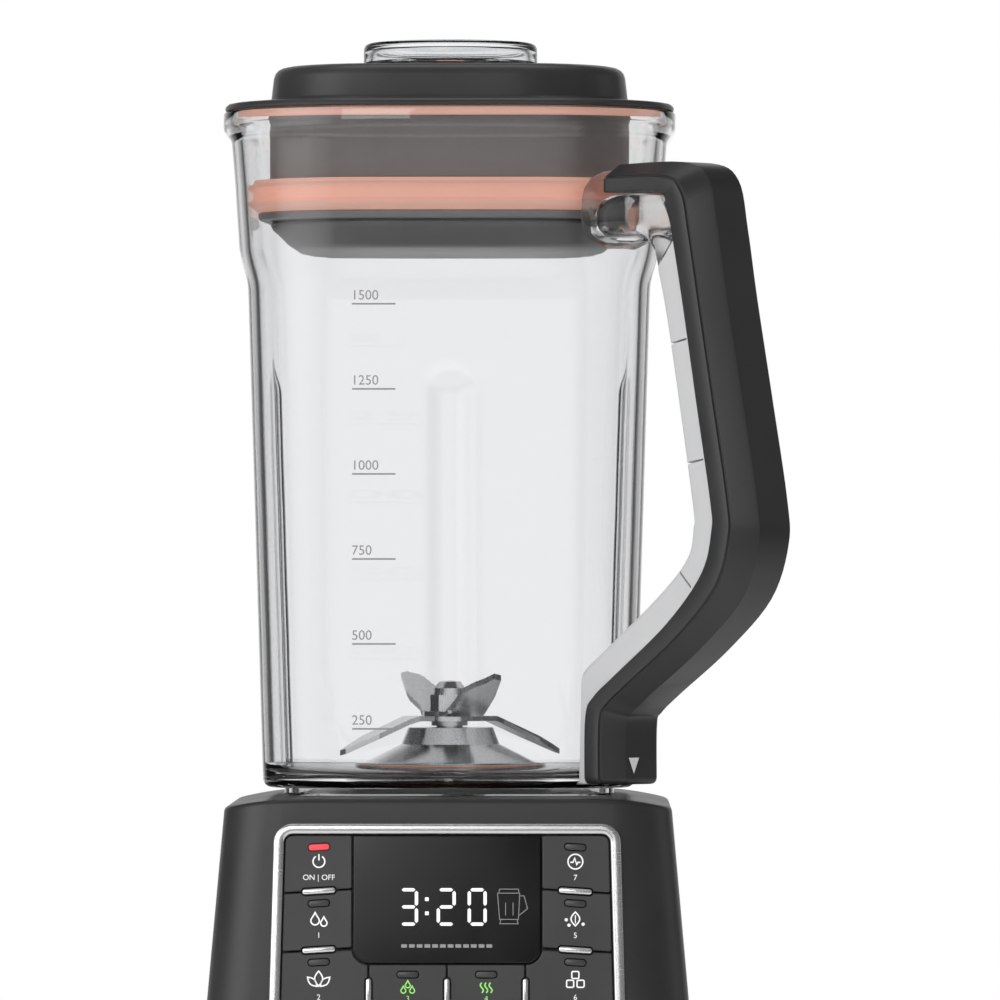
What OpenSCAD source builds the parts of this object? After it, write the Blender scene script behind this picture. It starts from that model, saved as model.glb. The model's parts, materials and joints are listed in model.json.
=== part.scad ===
/* [Base] */
// Height of the flat seat that the jug stands on
seat_h = 134; // [126:1:146]
// Width of that flat seat
seat_w = 96; // [94:0.5:100]
// Width of the base at its top edge
base_top_w = 133.4; // [131:0.2:138]
// Depth of the base at its top edge
base_top_d = 140; // [136:1:146]
// Width of the base at the table
base_foot_w = 157; // [152:1:166]
// Depth of the base at the table
base_foot_d = 162; // [156:1:170]
// Radius of the upright corners of the base
base_corner_r = 18; // [14:1:22]
// Wall of the base housing
base_wall = 3; // [2.5:0.25:3.5]
// Radius of the rounded top edges
base_edge_r = 2; // [1.5:0.5:3.5]
// Radius of the roof where it falls to the sides
roof_r = 38; // [34:1:50]
// Gap between the housing's lower edge and the table
skirt_gap = 2.5; // [1.5:0.25:3]
// Radius of the round well for the drive coupling
well_r = 40; // [38:0.5:42]
// Depth of that well
well_depth = 24; // [23:0.5:26]

/* [Control panel] */
// Height of the panel frame's upper edge along the leaning front
panel_top = 127; // [125:0.5:128]
// Height of the panel frame's lower edge
panel_bottom = 22; // [18:1:24]
// Width of the frame at its upper edge
panel_top_w = 103; // [101:0.5:105]
// Flare of the frame's sides, in degrees
panel_flare = 1.5; // [0.5:0.25:2]
// Face width of the bright frame
frame_w = 3.1; // [2.6:0.1:3.6]
// Outer corner radius of the frame
frame_r = 5.7; // [4.5:0.1:7]
// How far the frame stands proud of the housing
frame_t = 1.4; // [1:0.1:2]
// Width of the display window
display_w = 55.7; // [52:0.1:58]
// Height of the display window's lower edge
display_bottom = 85.5; // [84:0.5:87]
// Radius of the display window's lower corners
display_r = 4.5; // [3:0.5:6]
// Height of the line between the first and second key rows
key_row_top = 106.9; // [105:0.1:109]
// Height of one key row
key_pitch = 17.5; // [17:0.1:18]
// Droop of the key rows towards the sides, in degrees
key_droop = 3.5; // [0:0.5:5]
// Gap between neighbouring keys
key_gap = 0.5; // [0.4:0.05:0.8]
// Travel of a key
key_travel = 0.8; // [0.5:0.05:0.9]
// Half of the width that the two middle keys share
mid_half = 23.3; // [21:0.1:25]
// Length of a bright bar between keys
bar_l = 9.8; // [8:0.1:11]
// Width of such a bar
bar_w = 1.6; // [1.2:0.1:2]
// Length of an indicator window
led_l = 6.2; // [5:0.1:7]
// Width of an indicator window
led_w = 1.8; // [1.4:0.1:2.2]
// Radius of the speed knob
knob_r = 17.5; // [15:0.5:19]
// Height of the speed knob
knob_h = 14; // [10:0.5:18]
// Height of the knob's axis along the leaning front
knob_up = 47; // [44:0.5:49]

/* [Jug] */
// Half width of the jug's body at its floor
jug_foot_half = 56.1; // [55:0.1:57]
// Half width of the jug's body below the shoulder
jug_top_half = 60.7; // [59.5:0.1:61.5]
// Half width of the collar at its lower end
collar_low_half = 63.7; // [63:0.1:64.5]
// Half width of the collar below the lip
collar_top_half = 65.7; // [65:0.1:66.5]
// Half width of the lip
lip_half = 68.4; // [67.8:0.1:69]
// Corner radius of the body at the floor
jug_corner_r = 25; // [24:0.5:27]
// Corner radius of the collar
collar_corner_r = 40; // [38:0.5:41]
// Corner radius of the lip
lip_corner_r = 46; // [45:0.5:48]
// Wall of the jug
jug_wall = 3.2; // [2.8:0.1:3.4]
// Thickness of the jug's floor
jug_floor_t = 3.5; // [3:0.25:4.5]
// Height of the jug from its foot to its lip
jug_h = 206; // [200:0.2:212]
// Height of the shoulder under the collar, above the foot
shoulder_up = 154; // [150:0.5:158]
// Width of the upright flute in each wall
flute_w = 22; // [18:0.5:26]
// Depth of that flute
flute_depth = 3.2; // [2:0.1:4]
// Height of the flute's round top above the foot
flute_up = 132; // [110:1:140]
// Half width of the foot ring
foot_half = 49.7; // [48.5:0.1:50.5]
// Height of the foot ring
foot_ring_h = 2.2; // [2:0.1:3]
// Width of the handle's cover
handle_w = 25; // [22:0.5:27]
// Width of the flat on the cover's back
handle_back_w = 14.2; // [11:0.2:18]

/* [Lid] */
// Half width of the lid's raised middle
plateau_half = 53.6; // [51:0.1:55]
// Height of the raised middle above the flange
plateau_h = 11.4; // [9:0.2:13]
// Half width of the lid's flange
flange_half = 67.9; // [67.2:0.1:68.6]
// Thickness of the flange
flange_t = 2.2; // [2:0.1:3]
// Thickness of the rim seal
rim_seal_t = 3; // [2.5:0.1:3.5]
// Half width of the drum under the flange
drum_half = 54.6; // [53:0.1:56]
// Depth of the drum down to the plug seal
drum_depth = 21; // [19:0.5:23]
// Height of the plug seal
plug_seal_h = 9.8; // [8.4:0.2:11]
// Depth of the tray under the drum
tray_h = 8; // [6:0.5:10]
// Radius of the clear cap
cap_r = 26.5; // [25:0.5:28]
// Height of the clear cap above the lid
cap_h = 8; // [6:0.5:10]

/* [Drive] */
// Radius of the motor shaft and of the blade shaft
shaft_r = 4; // [3.5:0.1:4.2]
// Half width of the stator core
stator_half = 42; // [40:0.5:44]
// Radius of the armature
armature_r = 21.6; // [19:0.2:22]
// Outer radius of the ball bearings
bearing_r = 11; // [10:0.5:12]
// Height of the ball bearings
bearing_h = 7; // [6:0.5:7]
// Mean radius of the toothed coupling
coupling_r = 11.2; // [10.5:0.1:12]
// Depth of the coupling's lobes
lobe = 1.8; // [1:0.1:2]
// Reach of the blades from the axis
blade_reach = 36; // [30:0.5:38]
// Thickness of the blades
blade_t = 1.5; // [1.2:0.1:2]

/* [Hidden] */
$fn = 64;

// Clearances: between pieces that part, between fixed pieces, and of a turning shaft
part_gap = 0.3;
fit_gap = 0.1;
run_gap = 0.05;
// Overlap that lets a cut pass cleanly through a face
cut = 1;

// Base floor and feet
foot_r = 9;
plate_z = 4;
plate_t = 3;
plate_top = plate_z + plate_t;
boss_inset = 22;
boss_r = 5;
boss_h = 28;
screw_r = 1.9;
screw_head_r = 3.6;
screw_head_h = 2;
screw_l = 14;
board_inset = 23;
gland_r = 5;
gland_z = 20;

// Control panel, as distances along the leaning front and outwards from it
lean = atan((base_foot_d - base_top_d) / 2 / seat_h);
carrier_rim = 1.5;
carrier_t = 2;
carrier_depth = 5.4;
carrier_floor = carrier_t - carrier_depth;
key_face = 0.5;
key_r = 0.6;
key_t = 2.7;
stem_r = 2;
stem_l = 3.7;
switch_gap = 0.2;
switch_h = 3.5;
switch_w = 6;
switch_top = key_face - key_t - stem_l - key_travel - switch_gap;
board_front = switch_top - switch_h;
board_t = 1.6;
lens_t = 2;
bar_u = (display_w / 2 + panel_top_w / 2 - frame_w) / 2;
key_rows = [key_row_top, key_row_top - key_pitch, key_row_top - 2 * key_pitch];
display_top = panel_top - frame_w - key_gap;
led_drop = 3.4;
bar_drop = 4.6;
encoder_w = 13;
bushing_r = 4.5;
encoder_shaft_r = 3;

// Well, motor and coupling heights
well_z = seat_h - well_depth;
mount_h = 8;
bracket_t = 4;
bracket_z = plate_top + mount_h;
fan_h = 8;
fan_gap = 1.5;
winding_gap = 2;
coil_end = 7;
coil_in = armature_r + 2.6;
coil_out = coil_in + 9;
bearing_lip = 1;
stator_bore = armature_r + 0.9;
lower_boss_top = bracket_z + bearing_h + bearing_lip;
fan_z = lower_boss_top + fan_gap;
stator_z = fan_z + fan_h + winding_gap + coil_end;
motor_clear = 7;
commutator_h = 9;
commutator_r = 10;
upper_plate_top = well_z - base_wall - motor_clear;
upper_boss_z = upper_plate_top - bearing_h - bearing_lip;
commutator_z = upper_boss_z - winding_gap - commutator_h;
stator_top = commutator_z - coil_end - 0.5;
stator_h = stator_top - stator_z;
stator_corner_r = 6;
bolt_at = stator_half - stator_corner_r;
bolt_r = 2;
column_r = 5;
seal_flange_t = 1.2;
drive_z = well_z + seal_flange_t + 0.8;
drive_h = 10;
cup_r = coupling_r + lobe + 4;
cup_web = 4;
cup_top = drive_z + drive_h + part_gap + cup_web;

// Jug heights
foot_z = seat_h + part_gap;
jug_bottom = foot_z + foot_ring_h;
jug_floor = jug_bottom + jug_floor_t;
shoulder_z = foot_z + shoulder_up;
collar_z = shoulder_z + 10;
lip_z = foot_z + jug_h;
flare_h = 10;
shoulder_corner_r = collar_corner_r - 10;
flute_top = foot_z + flute_up;

// Blade unit heights
tube_r = bearing_r + 6;
holder_bottom = cup_top + 1;
holder_seal_t = 0.8;
holder_flange_r = tube_r + 12;
flange_z = jug_floor + holder_seal_t;
upper_race_z = flange_z + 1.2;
holder_top = upper_race_z + bearing_h + 5;
blade_z = holder_top + 2;
lock_ring_r = tube_r + 14;
nut_r = 6.5;

// Lid heights
lip_wall = 2.4;
flange_bottom = lip_z + part_gap;
rim_z = flange_bottom - rim_seal_t;
flange_top = flange_bottom + flange_t;
lid_top = flange_top + plateau_h;
lid_wall = 2.6;
drum_bottom = flange_bottom - drum_depth;
seal_bottom = drum_bottom - plug_seal_h;
ring_h = 2.4;
plug_bottom = seal_bottom - ring_h;
cap_skirt_r = cap_r - 4;
cap_wall = 2.2;

function unit(v) = v / norm(v);
function mix(a, b, t) = a + (b - a) * t;

// Half width and half depth of the base at height z
function base_hw(z) = mix(base_foot_w, base_top_w, z / seat_h) / 2;
function base_hd(z) = mix(base_foot_d, base_top_d, z / seat_h) / 2;

// Ring of points round a rounded rectangle at height z
function ring(hx, hy, r, z, n = 6) = [
    for (q = [0 : 3], i = [0 : n])
        let (a = 90 * (q + i / n), sx = q == 0 || q == 3 ? 1 : -1, sy = q < 2 ? 1 : -1)
            [sx * (hx - r) + r * cos(a), sy * (hy - r) + r * sin(a), z]
];

// Arc that rounds the corner p between its neighbours a and b
function corner_arc(a, p, b, r, n) =
    let (
        u = unit(a - p), w = unit(b - p), half = acos(u * w) / 2,
        c = p + unit(u + w) * r / sin(half),
        s = p + u * r / tan(half) - c, e = p + w * r / tan(half) - c,
        from = atan2(s.y, s.x),
        turn = (atan2(e.y, e.x) - from + 540) % 360 - 180
    )
    [for (i = [0 : n]) c + r * [cos(from + turn * i / n), sin(from + turn * i / n)]];

// Outline with every corner rounded by its own radius
function rounded(pts, radii, n = 6) =
    let (count = len(pts))
    [for (i = [0 : count - 1])
        each corner_arc(pts[(i + count - 1) % count], pts[i], pts[(i + 1) % count], radii[i], n)];

// Smooth curve through points, with some steps between each pair
function smooth(pts, steps) =
    let (last = len(pts) - 1)
    concat(
        [for (i = [0 : last - 1], k = [0 : steps - 1])
            let (
                a = pts[max(i - 1, 0)], b = pts[i], c = pts[i + 1], d = pts[min(i + 2, last)],
                t = k / steps
            )
            b + (c - a) * t / 2 + (2 * a - 5 * b + 4 * c - d) * t * t / 2
                + (3 * b - a - 3 * c + d) * t * t * t / 2],
        [pts[last]]
    );

// Middle of a ring of points
function middle(r) = [for (p = r) 1] * r / len(r);

// Solid through a stack of rings that all have the same number of points
module loft(rings) {
    m = len(rings[0]);
    top = len(rings) - 1;
    low_middle = (top + 1) * m;
    sides = [
        for (k = [0 : top - 1], i = [0 : m - 1])
            let (a = k * m + i, b = k * m + (i + 1) % m)
                each [[a, a + m, b + m], [a, b + m, b]]
    ];
    caps = [
        for (i = [0 : m - 1])
            let (j = (i + 1) % m)
                each [[i, j, low_middle], [top * m + j, top * m + i, low_middle + 1]]
    ];
    points = concat([for (r = rings) each r], [middle(rings[0]), middle(rings[top])]);
    polyhedron(points, concat(sides, caps), convexity = 8);
}

// Ring-shaped solid of revolution between two radii
module tube(r_in, r_out, h) {
    difference() {
        cylinder(r = r_out, h = h);
        translate([0, 0, -cut]) cylinder(r = r_in, h = h + 2 * cut);
    }
}

// Mirrored copies at the four corners of a rectangle
module at_corners(x, y) {
    for (mx = [0, 1], my = [0, 1]) mirror([mx, 0, 0]) mirror([0, my, 0]) translate([x, y, 0]) children();
}

// Moves to the leaning front: x to the right, y up the front, z outwards
module on_front() {
    translate([0, -base_foot_d / 2, 0]) rotate([90 - lean, 0, 0]) children();
}

// Outer body of the base, before it is hollowed
module base_body() {
    edge_x = base_top_w / 2 - base_edge_r;
    edge_z = seat_h - roof_r + sqrt(pow(roof_r - base_edge_r, 2) - pow(edge_x - seat_w / 2, 2));
    fall = acos((edge_x - seat_w / 2) / (roof_r - base_edge_r));
    roof_arc = [for (i = [0 : 6]) let (a = mix(90, fall, i / 6))
        [seat_w / 2 + roof_r * cos(a), seat_h - roof_r + roof_r * sin(a)]];
    edge_arc = [for (i = [1 : 6]) let (a = mix(fall, -5, i / 6))
        [edge_x + base_edge_r * cos(a), edge_z + base_edge_r * sin(a)]];
    right = concat(roof_arc, edge_arc, [[base_foot_w / 2 + 2, 0]]);
    left = [for (i = [len(right) - 1 : -1 : 0]) [-right[i].x, right[i].y]];
    round_z = seat_h - base_edge_r;
    intersection() {
        loft(concat(
            [ring(base_hw(skirt_gap), base_hd(skirt_gap), base_corner_r, skirt_gap)],
            [for (a = [0 : 30 : 90]) ring(base_hw(round_z), base_hd(round_z) - base_edge_r * (1 - cos(a)),
                base_corner_r, round_z + base_edge_r * sin(a))]
        ));
        rotate([90, 0, 0]) linear_extrude(base_foot_d + 2, center = true) polygon(concat(left, right));
    }
}

// Hollow of the base
module base_hollow() {
    over = base_top_w / 2 - base_wall - seat_w / 2;
    top = seat_h - base_wall - roof_r + sqrt(pow(roof_r, 2) - pow(over, 2));
    loft([for (z = [0, top])
        ring(base_hw(z) - base_wall, base_hd(z) - base_wall, base_corner_r - base_wall, z)]);
}

module base_housing() {
    slot_w = 2.4;
    slot_l = 34;
    slot_z = 62;
    color("#303133") difference() {
        union() {
            difference() {
                base_body();
                base_hollow();
            }
            translate([0, 0, well_z - base_wall])
                cylinder(r = well_r + base_wall, h = well_depth);
            intersection() {
                base_body();
                at_corners(base_foot_w / 2 - boss_inset, base_foot_d / 2 - boss_inset) screw_boss();
            }
        }
        translate([0, 0, well_z]) cylinder(r = well_r, h = well_depth + cut);
        translate([0, 0, well_z - base_wall - cut]) cylinder(r = bearing_r + 1, h = base_wall + 2 * cut);
        at_corners(base_foot_w / 2 - boss_inset, base_foot_d / 2 - boss_inset)
            translate([0, 0, plate_top - cut]) cylinder(r = screw_r, h = screw_l + cut);
        on_front() translate([0, 0, -3 * base_wall])
            linear_extrude(6 * base_wall) panel_outline(frame_w - carrier_rim - part_gap);
        for (i = [-4 : 4])
            translate([i * 2.5 * slot_w, base_hd(slot_z) - base_wall, slot_z])
                cube([slot_w, 6 * base_wall, slot_l], center = true);
        translate([0, base_hd(gland_z) - 3 * base_wall, gland_z])
            rotate([-90, 0, 0]) cylinder(r = gland_r + fit_gap, h = 6 * base_wall);
    }
}

// Boss for a floor screw, tied to the side wall by a rib
module screw_boss() {
    translate([0, 0, plate_top]) {
        cylinder(r = boss_r, h = boss_h);
        translate([0, -base_wall / 2, 0]) cube([boss_inset, base_wall, boss_h]);
    }
}

module base_plate() {
    inset = base_wall + part_gap;
    color("#28292b") difference() {
        translate([0, 0, plate_z]) linear_extrude(plate_t)
            square_outline(base_hw(plate_top) - inset, base_hd(plate_top) - inset, base_corner_r - inset);
        at_corners(base_foot_w / 2 - boss_inset, base_foot_d / 2 - boss_inset) {
            cylinder(r = screw_r + fit_gap, h = seat_h / 4);
            cylinder(r = screw_head_r + part_gap, h = plate_z + screw_head_h);
        }
        for (side = [-1, 1], i = [2 : 5]) translate([side * i * 8, 0, plate_z])
            cube([3, 60 - 5 * i, 4 * plate_t], center = true);
    }
}

// Round foot, its lower edge bevelled
module foot() {
    rotate_extrude() polygon([[0, 0], [foot_r - 1, 0], [foot_r, 1], [foot_r, plate_z], [0, plate_z]]);
}

// Four feet at the corners, and one in the middle that carries the motor
module rubber_feet() {
    color("#1b1b1c") {
        at_corners(base_foot_w / 2 - foot_r - 12, base_foot_d / 2 - 2 * boss_inset) foot();
        foot();
    }
}

module base_screws() {
    color("#9a9c9e") at_corners(base_foot_w / 2 - boss_inset, base_foot_d / 2 - boss_inset)
        translate([0, 0, plate_z]) difference() {
            union() {
                cylinder(r = screw_head_r, h = screw_head_h);
                cylinder(r = screw_r - run_gap, h = plate_t + screw_l - 2);
            }
            translate([0, 0, -cut]) cylinder(r = 1.6, h = cut + 1.2, $fn = 6);
        }
}

module cord_gland() {
    wall_y = base_hd(gland_z);
    color("#202122") translate([0, wall_y, gland_z]) rotate([-90, 0, 0]) difference() {
        union() {
            translate([0, 0, -2 * base_wall]) cylinder(r = gland_r, h = 2 * base_wall + 5);
            translate([0, 0, -2.3 * base_wall]) cylinder(r = gland_r + 2, h = base_wall);
        }
        translate([0, 0, -4 * base_wall]) cylinder(r = gland_r - 1.6, h = 8 * base_wall);
    }
}

module well_seal() {
    color("#3a3a3c") translate([0, 0, well_z]) {
        translate([0, 0, -base_wall]) tube(shaft_r + part_gap, bearing_r + 1 - fit_gap, base_wall);
        tube(shaft_r + part_gap, bearing_r + 4, seal_flange_t);
    }
}

module square_outline(hx, hy, r) {
    polygon(rounded([[-hx, -hy], [hx, -hy], [hx, hy], [-hx, hy]], [r, r, r, r]));
}

// Half width of the panel frame at height v on the front
function panel_half(v) = panel_top_w / 2 + (panel_top - v) * tan(panel_flare);
// Line under key row k, drooping to the sides
function row_line(u, k) = key_rows[k] - (abs(u) - bar_u) * tan(key_droop);
function key_low(u, k) = row_line(u, k) + key_gap / 2;
function key_high(u, k) = k == 0 ? display_top : row_line(u, k - 1) - key_gap / 2;
function key_side(v) = panel_half(v) - frame_w - key_gap;
function key_mid(k) = (key_low(bar_u, k) + key_high(bar_u, k)) / 2;
mid_low = row_line(mid_half, 2) + key_gap / 2;
mid_v = display_bottom - led_drop - led_w / 2 - 1 - stem_r;
// Places of the key stems: side, height
stems = concat(
    [for (side = [-1, 1], k = [0 : 2]) [side * bar_u, key_mid(k)]],
    [for (side = [-1, 1]) [side * mid_half / 2, mid_v]]
);

// Frame outline, drawn in by an inset
module panel_outline(inset) {
    r = max(frame_r - inset, 0.8);
    top = panel_top - inset;
    low = panel_bottom + inset;
    wide = panel_half(low) - inset;
    narrow = panel_half(top) - inset;
    polygon(rounded([[-wide, low], [wide, low], [narrow, top], [-narrow, top]], [r, r, r, r]));
}

module display_outline(grow) {
    half = display_w / 2 + grow;
    low = display_bottom - grow;
    r = display_r + grow;
    corners = [[-half, low], [half, low], [half, display_top], [-half, display_top]];
    polygon(rounded(corners, [r, r, key_r, key_r]));
}

module side_key_outline(side, row) {
    u_in = row < 2 ? display_w / 2 + key_gap : mid_half + key_gap / 2;
    u_low = key_side(key_low(bar_u, row));
    u_high = key_side(key_high(bar_u, row));
    outline = [
        [u_in, key_low(u_in, row)], [u_low, key_low(u_low, row)],
        [u_high, key_high(u_high, row)], [u_in, key_high(u_in, row)]
    ];
    r_top = row == 0 ? frame_r - frame_w - key_gap : key_r;
    scale([side, 1]) difference() {
        polygon(rounded(outline, [key_r, key_r, r_top, key_r]));
        display_outline(key_gap);
    }
}

module mid_key_outline(side) {
    low = mid_low;
    high = display_bottom - key_gap;
    near = key_gap / 2;
    far = mid_half - key_gap / 2;
    corners = [[near, low], [far, low], [far, high], [near, high]];
    scale([side, 1]) polygon(rounded(corners, [key_r, key_r, key_r, key_r]));
}

// Bars between the keys, grown by a clearance
module bar_outlines(grow) {
    r = 0.4 + grow;
    for (side = [-1, 1], k = [0, 1]) translate([side * bar_u, key_rows[k]]) rotate(-side * key_droop)
        square_outline(bar_l / 2 + grow, bar_w / 2 + grow, r);
    for (u = [-mid_half, 0, mid_half]) translate([u, display_bottom - bar_drop - bar_l / 2])
        square_outline(bar_w / 2 + grow, bar_l / 2 + grow, r);
}

// Indicator windows in the keys, grown by a clearance
module led_outlines(grow) {
    half_w = led_w / 2 + grow;
    for (side = [-1, 1], k = [0 : 2])
        translate([side * bar_u, key_high(bar_u, k) - led_drop]) rotate(-side * key_droop)
            square_outline(led_l / 2 + grow, half_w, 0.95 * half_w);
    for (side = [-1, 1]) translate([side * mid_half / 2, display_bottom - led_drop])
        square_outline(led_l / 2 + grow, half_w, 0.95 * half_w);
}

// Key cap with its stem; the cap's outline is the child
module key_cap(stem) {
    color("#3b3c3e") on_front() {
        translate([0, 0, key_face - key_t]) linear_extrude(key_t) difference() {
            children();
            bar_outlines(part_gap);
            led_outlines(part_gap);
        }
        translate([stem.x, stem.y, key_face - key_t - stem_l]) cylinder(r = stem_r, h = stem_l + 1);
    }
}

module start_stop_key() { key_cap(stems[0]) side_key_outline(-1, 0); }
module drops_key() { key_cap(stems[1]) side_key_outline(-1, 1); }
module leaf_key() { key_cap(stems[2]) side_key_outline(-1, 2); }
module pulse_key() { key_cap(stems[3]) side_key_outline(1, 0); }
module grind_key() { key_cap(stems[4]) side_key_outline(1, 1); }
module ice_key() { key_cap(stems[5]) side_key_outline(1, 2); }
module cream_key() { key_cap(stems[6]) mid_key_outline(-1); }
module soup_key() { key_cap(stems[7]) mid_key_outline(1); }

module control_frame() {
    color("#b9bcc0") on_front() linear_extrude(frame_t) difference() {
        panel_outline(0);
        panel_outline(frame_w);
    }
}

// Plain land below the keys, which carries the knob
module land_outline() {
    u = panel_half(panel_bottom);
    edge = [for (at = [-u, -mid_half, mid_half, u]) [at, row_line(abs(at), 2) - key_gap / 2]];
    difference() {
        intersection() {
            panel_outline(frame_w + fit_gap);
            polygon(concat(edge, [[u, 0], [-u, 0]]));
        }
        bar_outlines(fit_gap);
    }
}

module panel_carrier() {
    post_u = 40;
    color("#232425") on_front() difference() {
        union() {
            translate([0, 0, -carrier_depth])
                linear_extrude(carrier_t) panel_outline(frame_w - carrier_rim);
            translate([0, 0, carrier_floor]) linear_extrude(-carrier_floor) difference() {
                panel_outline(frame_w - carrier_rim);
                panel_outline(frame_w);
            }
            translate([0, 0, carrier_floor]) linear_extrude(key_face - carrier_floor) land_outline();
            for (side = [-1, 1], v = [knob_up - 14, key_row_top])
                translate([side * post_u, v, board_front])
                    cylinder(r = 2.5, h = -board_front - carrier_depth);
        }
        for (s = stems) translate([s.x, s.y, -2 * carrier_depth])
            cylinder(r = stem_r + part_gap, h = 2 * carrier_depth);
        translate([0, knob_up, -2 * carrier_depth]) cylinder(r = bushing_r + fit_gap, h = 4 * carrier_depth);
        translate([-15, display_bottom + 12, -2 * carrier_depth]) cube([30, 5, 2 * carrier_depth]);
    }
}

module display_lens() {
    color("#0c0d0e") on_front() translate([0, 0, key_face + fit_gap - lens_t])
        linear_extrude(lens_t) display_outline(0);
}

module display_module() {
    color("#2f3f38") on_front() translate([0, 0, carrier_floor])
        linear_extrude(key_face + fit_gap - lens_t - carrier_floor) display_outline(-3);
}

module indicator_light_pipes() {
    color("#d8d8d8") on_front() translate([0, 0, carrier_floor])
        linear_extrude(key_face + 0.05 - carrier_floor) led_outlines(0);
}

module key_trim_bars() {
    color("#c4c7ca") on_front() translate([0, 0, carrier_floor])
        linear_extrude(key_face + 0.6 - carrier_floor) bar_outlines(0);
}

module control_board() {
    color("#2d6a44") on_front() translate([0, 0, board_front - board_t]) linear_extrude(board_t)
        translate([0, (knob_up + panel_top) / 2 - 13]) square_outline(45, (panel_top - knob_up) / 2 + 6, 2);
}

module tact_switches() {
    button_h = 1;
    color("#4a4a4c") on_front() for (s = stems) translate([s.x, s.y, board_front]) {
        translate([-switch_w / 2, -switch_w / 2, 0]) cube([switch_w, switch_w, switch_h - button_h]);
        cylinder(r = 1.7, h = switch_h);
    }
}

module rotary_encoder() {
    body_h = -carrier_depth - board_front;
    color("#8d9093") on_front() translate([0, knob_up, board_front]) difference() {
        union() {
            translate([-encoder_w / 2, -encoder_w / 2, 0]) cube([encoder_w, encoder_w, body_h]);
            cylinder(r = bushing_r, h = key_face - board_front);
        }
        translate([0, 0, body_h / 2]) cylinder(r = encoder_shaft_r + run_gap, h = 4 * carrier_depth);
    }
}

module encoder_shaft() {
    from = board_front / 2 - carrier_depth / 2 + fit_gap;
    color("#a5a8ab") on_front() translate([0, knob_up, from])
        cylinder(r = encoder_shaft_r, h = key_face + knob_h - 4 - from);
}

module speed_knob() {
    bevel = 1.6;
    flutes = 24;
    color("#2a2b2d") on_front() translate([0, knob_up, key_face + part_gap]) difference() {
        rotate_extrude() polygon([
            [0, 0], [knob_r - 0.6, 0], [knob_r, 0.6], [knob_r, 3], [knob_r - 1, 3.8],
            [knob_r - 1.6, knob_h - bevel], [knob_r - 1.6 - bevel, knob_h], [0, knob_h]
        ]);
        translate([0, 0, -cut]) cylinder(r = encoder_shaft_r + run_gap, h = knob_h - 3 + cut);
        for (i = [0 : flutes - 1]) rotate(360 / flutes * i) translate([knob_r - 0.8, 0, 4])
            cylinder(r = 0.9, h = knob_h);
        translate([-0.6, knob_r - 8, knob_h - 0.8]) cube([1.2, 8, 2]);
    }
}

module power_board() {
    board_w = 50;
    board_h = 42;
    board_y = base_foot_d / 2 - board_inset;
    color("#356b48") translate([-board_w + 5, board_y, plate_top]) {
        cube([board_w, board_t, board_h]);
        translate([5, board_t, 4]) cube([18, 8, 16]);
        translate([32, board_t, 8]) cube([12, 6, 10]);
        translate([38, board_t, 30]) rotate([-90, 0, 0]) cylinder(r = 5, h = 9);
        translate([14, board_t, 32]) rotate([-90, 0, 0]) cylinder(r = 6, h = 7);
    }
}

// Flat sector between two radii and two angles
module sector(r_in, r_out, from, to) {
    steps = 10;
    outer = [for (i = [0 : steps]) let (a = mix(from, to, i / steps)) r_out * [cos(a), sin(a)]];
    inner = [for (i = [steps : -1 : 0]) let (a = mix(from, to, i / steps)) r_in * [cos(a), sin(a)]];
    polygon(concat(outer, inner));
}

// Coil sides lie at this angle from the pole's middle, and are this wide
coil_at = 60;
coil_span = 12;

module lower_motor_bracket() {
    color("#a9acaf") difference() {
        union() {
            translate([0, 0, bracket_z]) linear_extrude(bracket_t)
                square_outline(stator_half, stator_half, stator_corner_r);
            translate([0, 0, bracket_z]) cylinder(r = bearing_r + 3, h = lower_boss_top - bracket_z);
            at_corners(bolt_at, bolt_at) translate([0, 0, bracket_z])
                cylinder(r = column_r, h = stator_z - bracket_z);
        }
        translate([0, 0, bracket_z - cut]) cylinder(r = bearing_r + fit_gap, h = bearing_h + cut);
        translate([0, 0, bracket_z]) cylinder(r = shaft_r + 2, h = 2 * bearing_h);
        at_corners(bolt_at, bolt_at) translate([0, 0, bracket_z - cut])
            cylinder(r = bolt_r + fit_gap, h = stator_z);
        for (a = [0 : 45 : 315]) rotate(a) translate([bearing_r + 13, 0, bracket_z - cut])
            cylinder(r = 6, h = bracket_t + 2 * cut);
    }
}

module upper_motor_bracket() {
    plate_low = upper_plate_top - bracket_t;
    color("#a9acaf") difference() {
        union() {
            translate([0, 0, plate_low]) linear_extrude(bracket_t)
                square_outline(stator_half, stator_half, stator_corner_r);
            translate([0, 0, upper_boss_z]) cylinder(r = bearing_r + 3, h = upper_plate_top - upper_boss_z);
            at_corners(bolt_at, bolt_at) translate([0, 0, stator_top])
                cylinder(r = column_r, h = plate_low - stator_top);
        }
        translate([0, 0, upper_plate_top - bearing_h])
            cylinder(r = bearing_r + fit_gap, h = bearing_h + cut);
        translate([0, 0, upper_boss_z - cut]) cylinder(r = shaft_r + 2, h = 2 * bearing_h);
        at_corners(bolt_at, bolt_at) translate([0, 0, stator_top - cut])
            cylinder(r = bolt_r + fit_gap, h = stator_z);
        for (a = [0 : 45 : 315]) rotate(a) translate([bearing_r + 21, 0, plate_low - cut])
            cylinder(r = 4, h = bracket_t + 2 * cut);
    }
}

module motor_bolts() {
    head_h = 2.5;
    color("#8f9296") at_corners(bolt_at, bolt_at) {
        translate([0, 0, bracket_z - head_h]) cylinder(r = 2 * bolt_r, h = head_h);
        translate([0, 0, bracket_z - 1]) cylinder(r = bolt_r, h = upper_plate_top + 4 - bracket_z);
        translate([0, 0, upper_plate_top]) cylinder(r = 2 * bolt_r, h = head_h, $fn = 6);
    }
}

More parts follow.
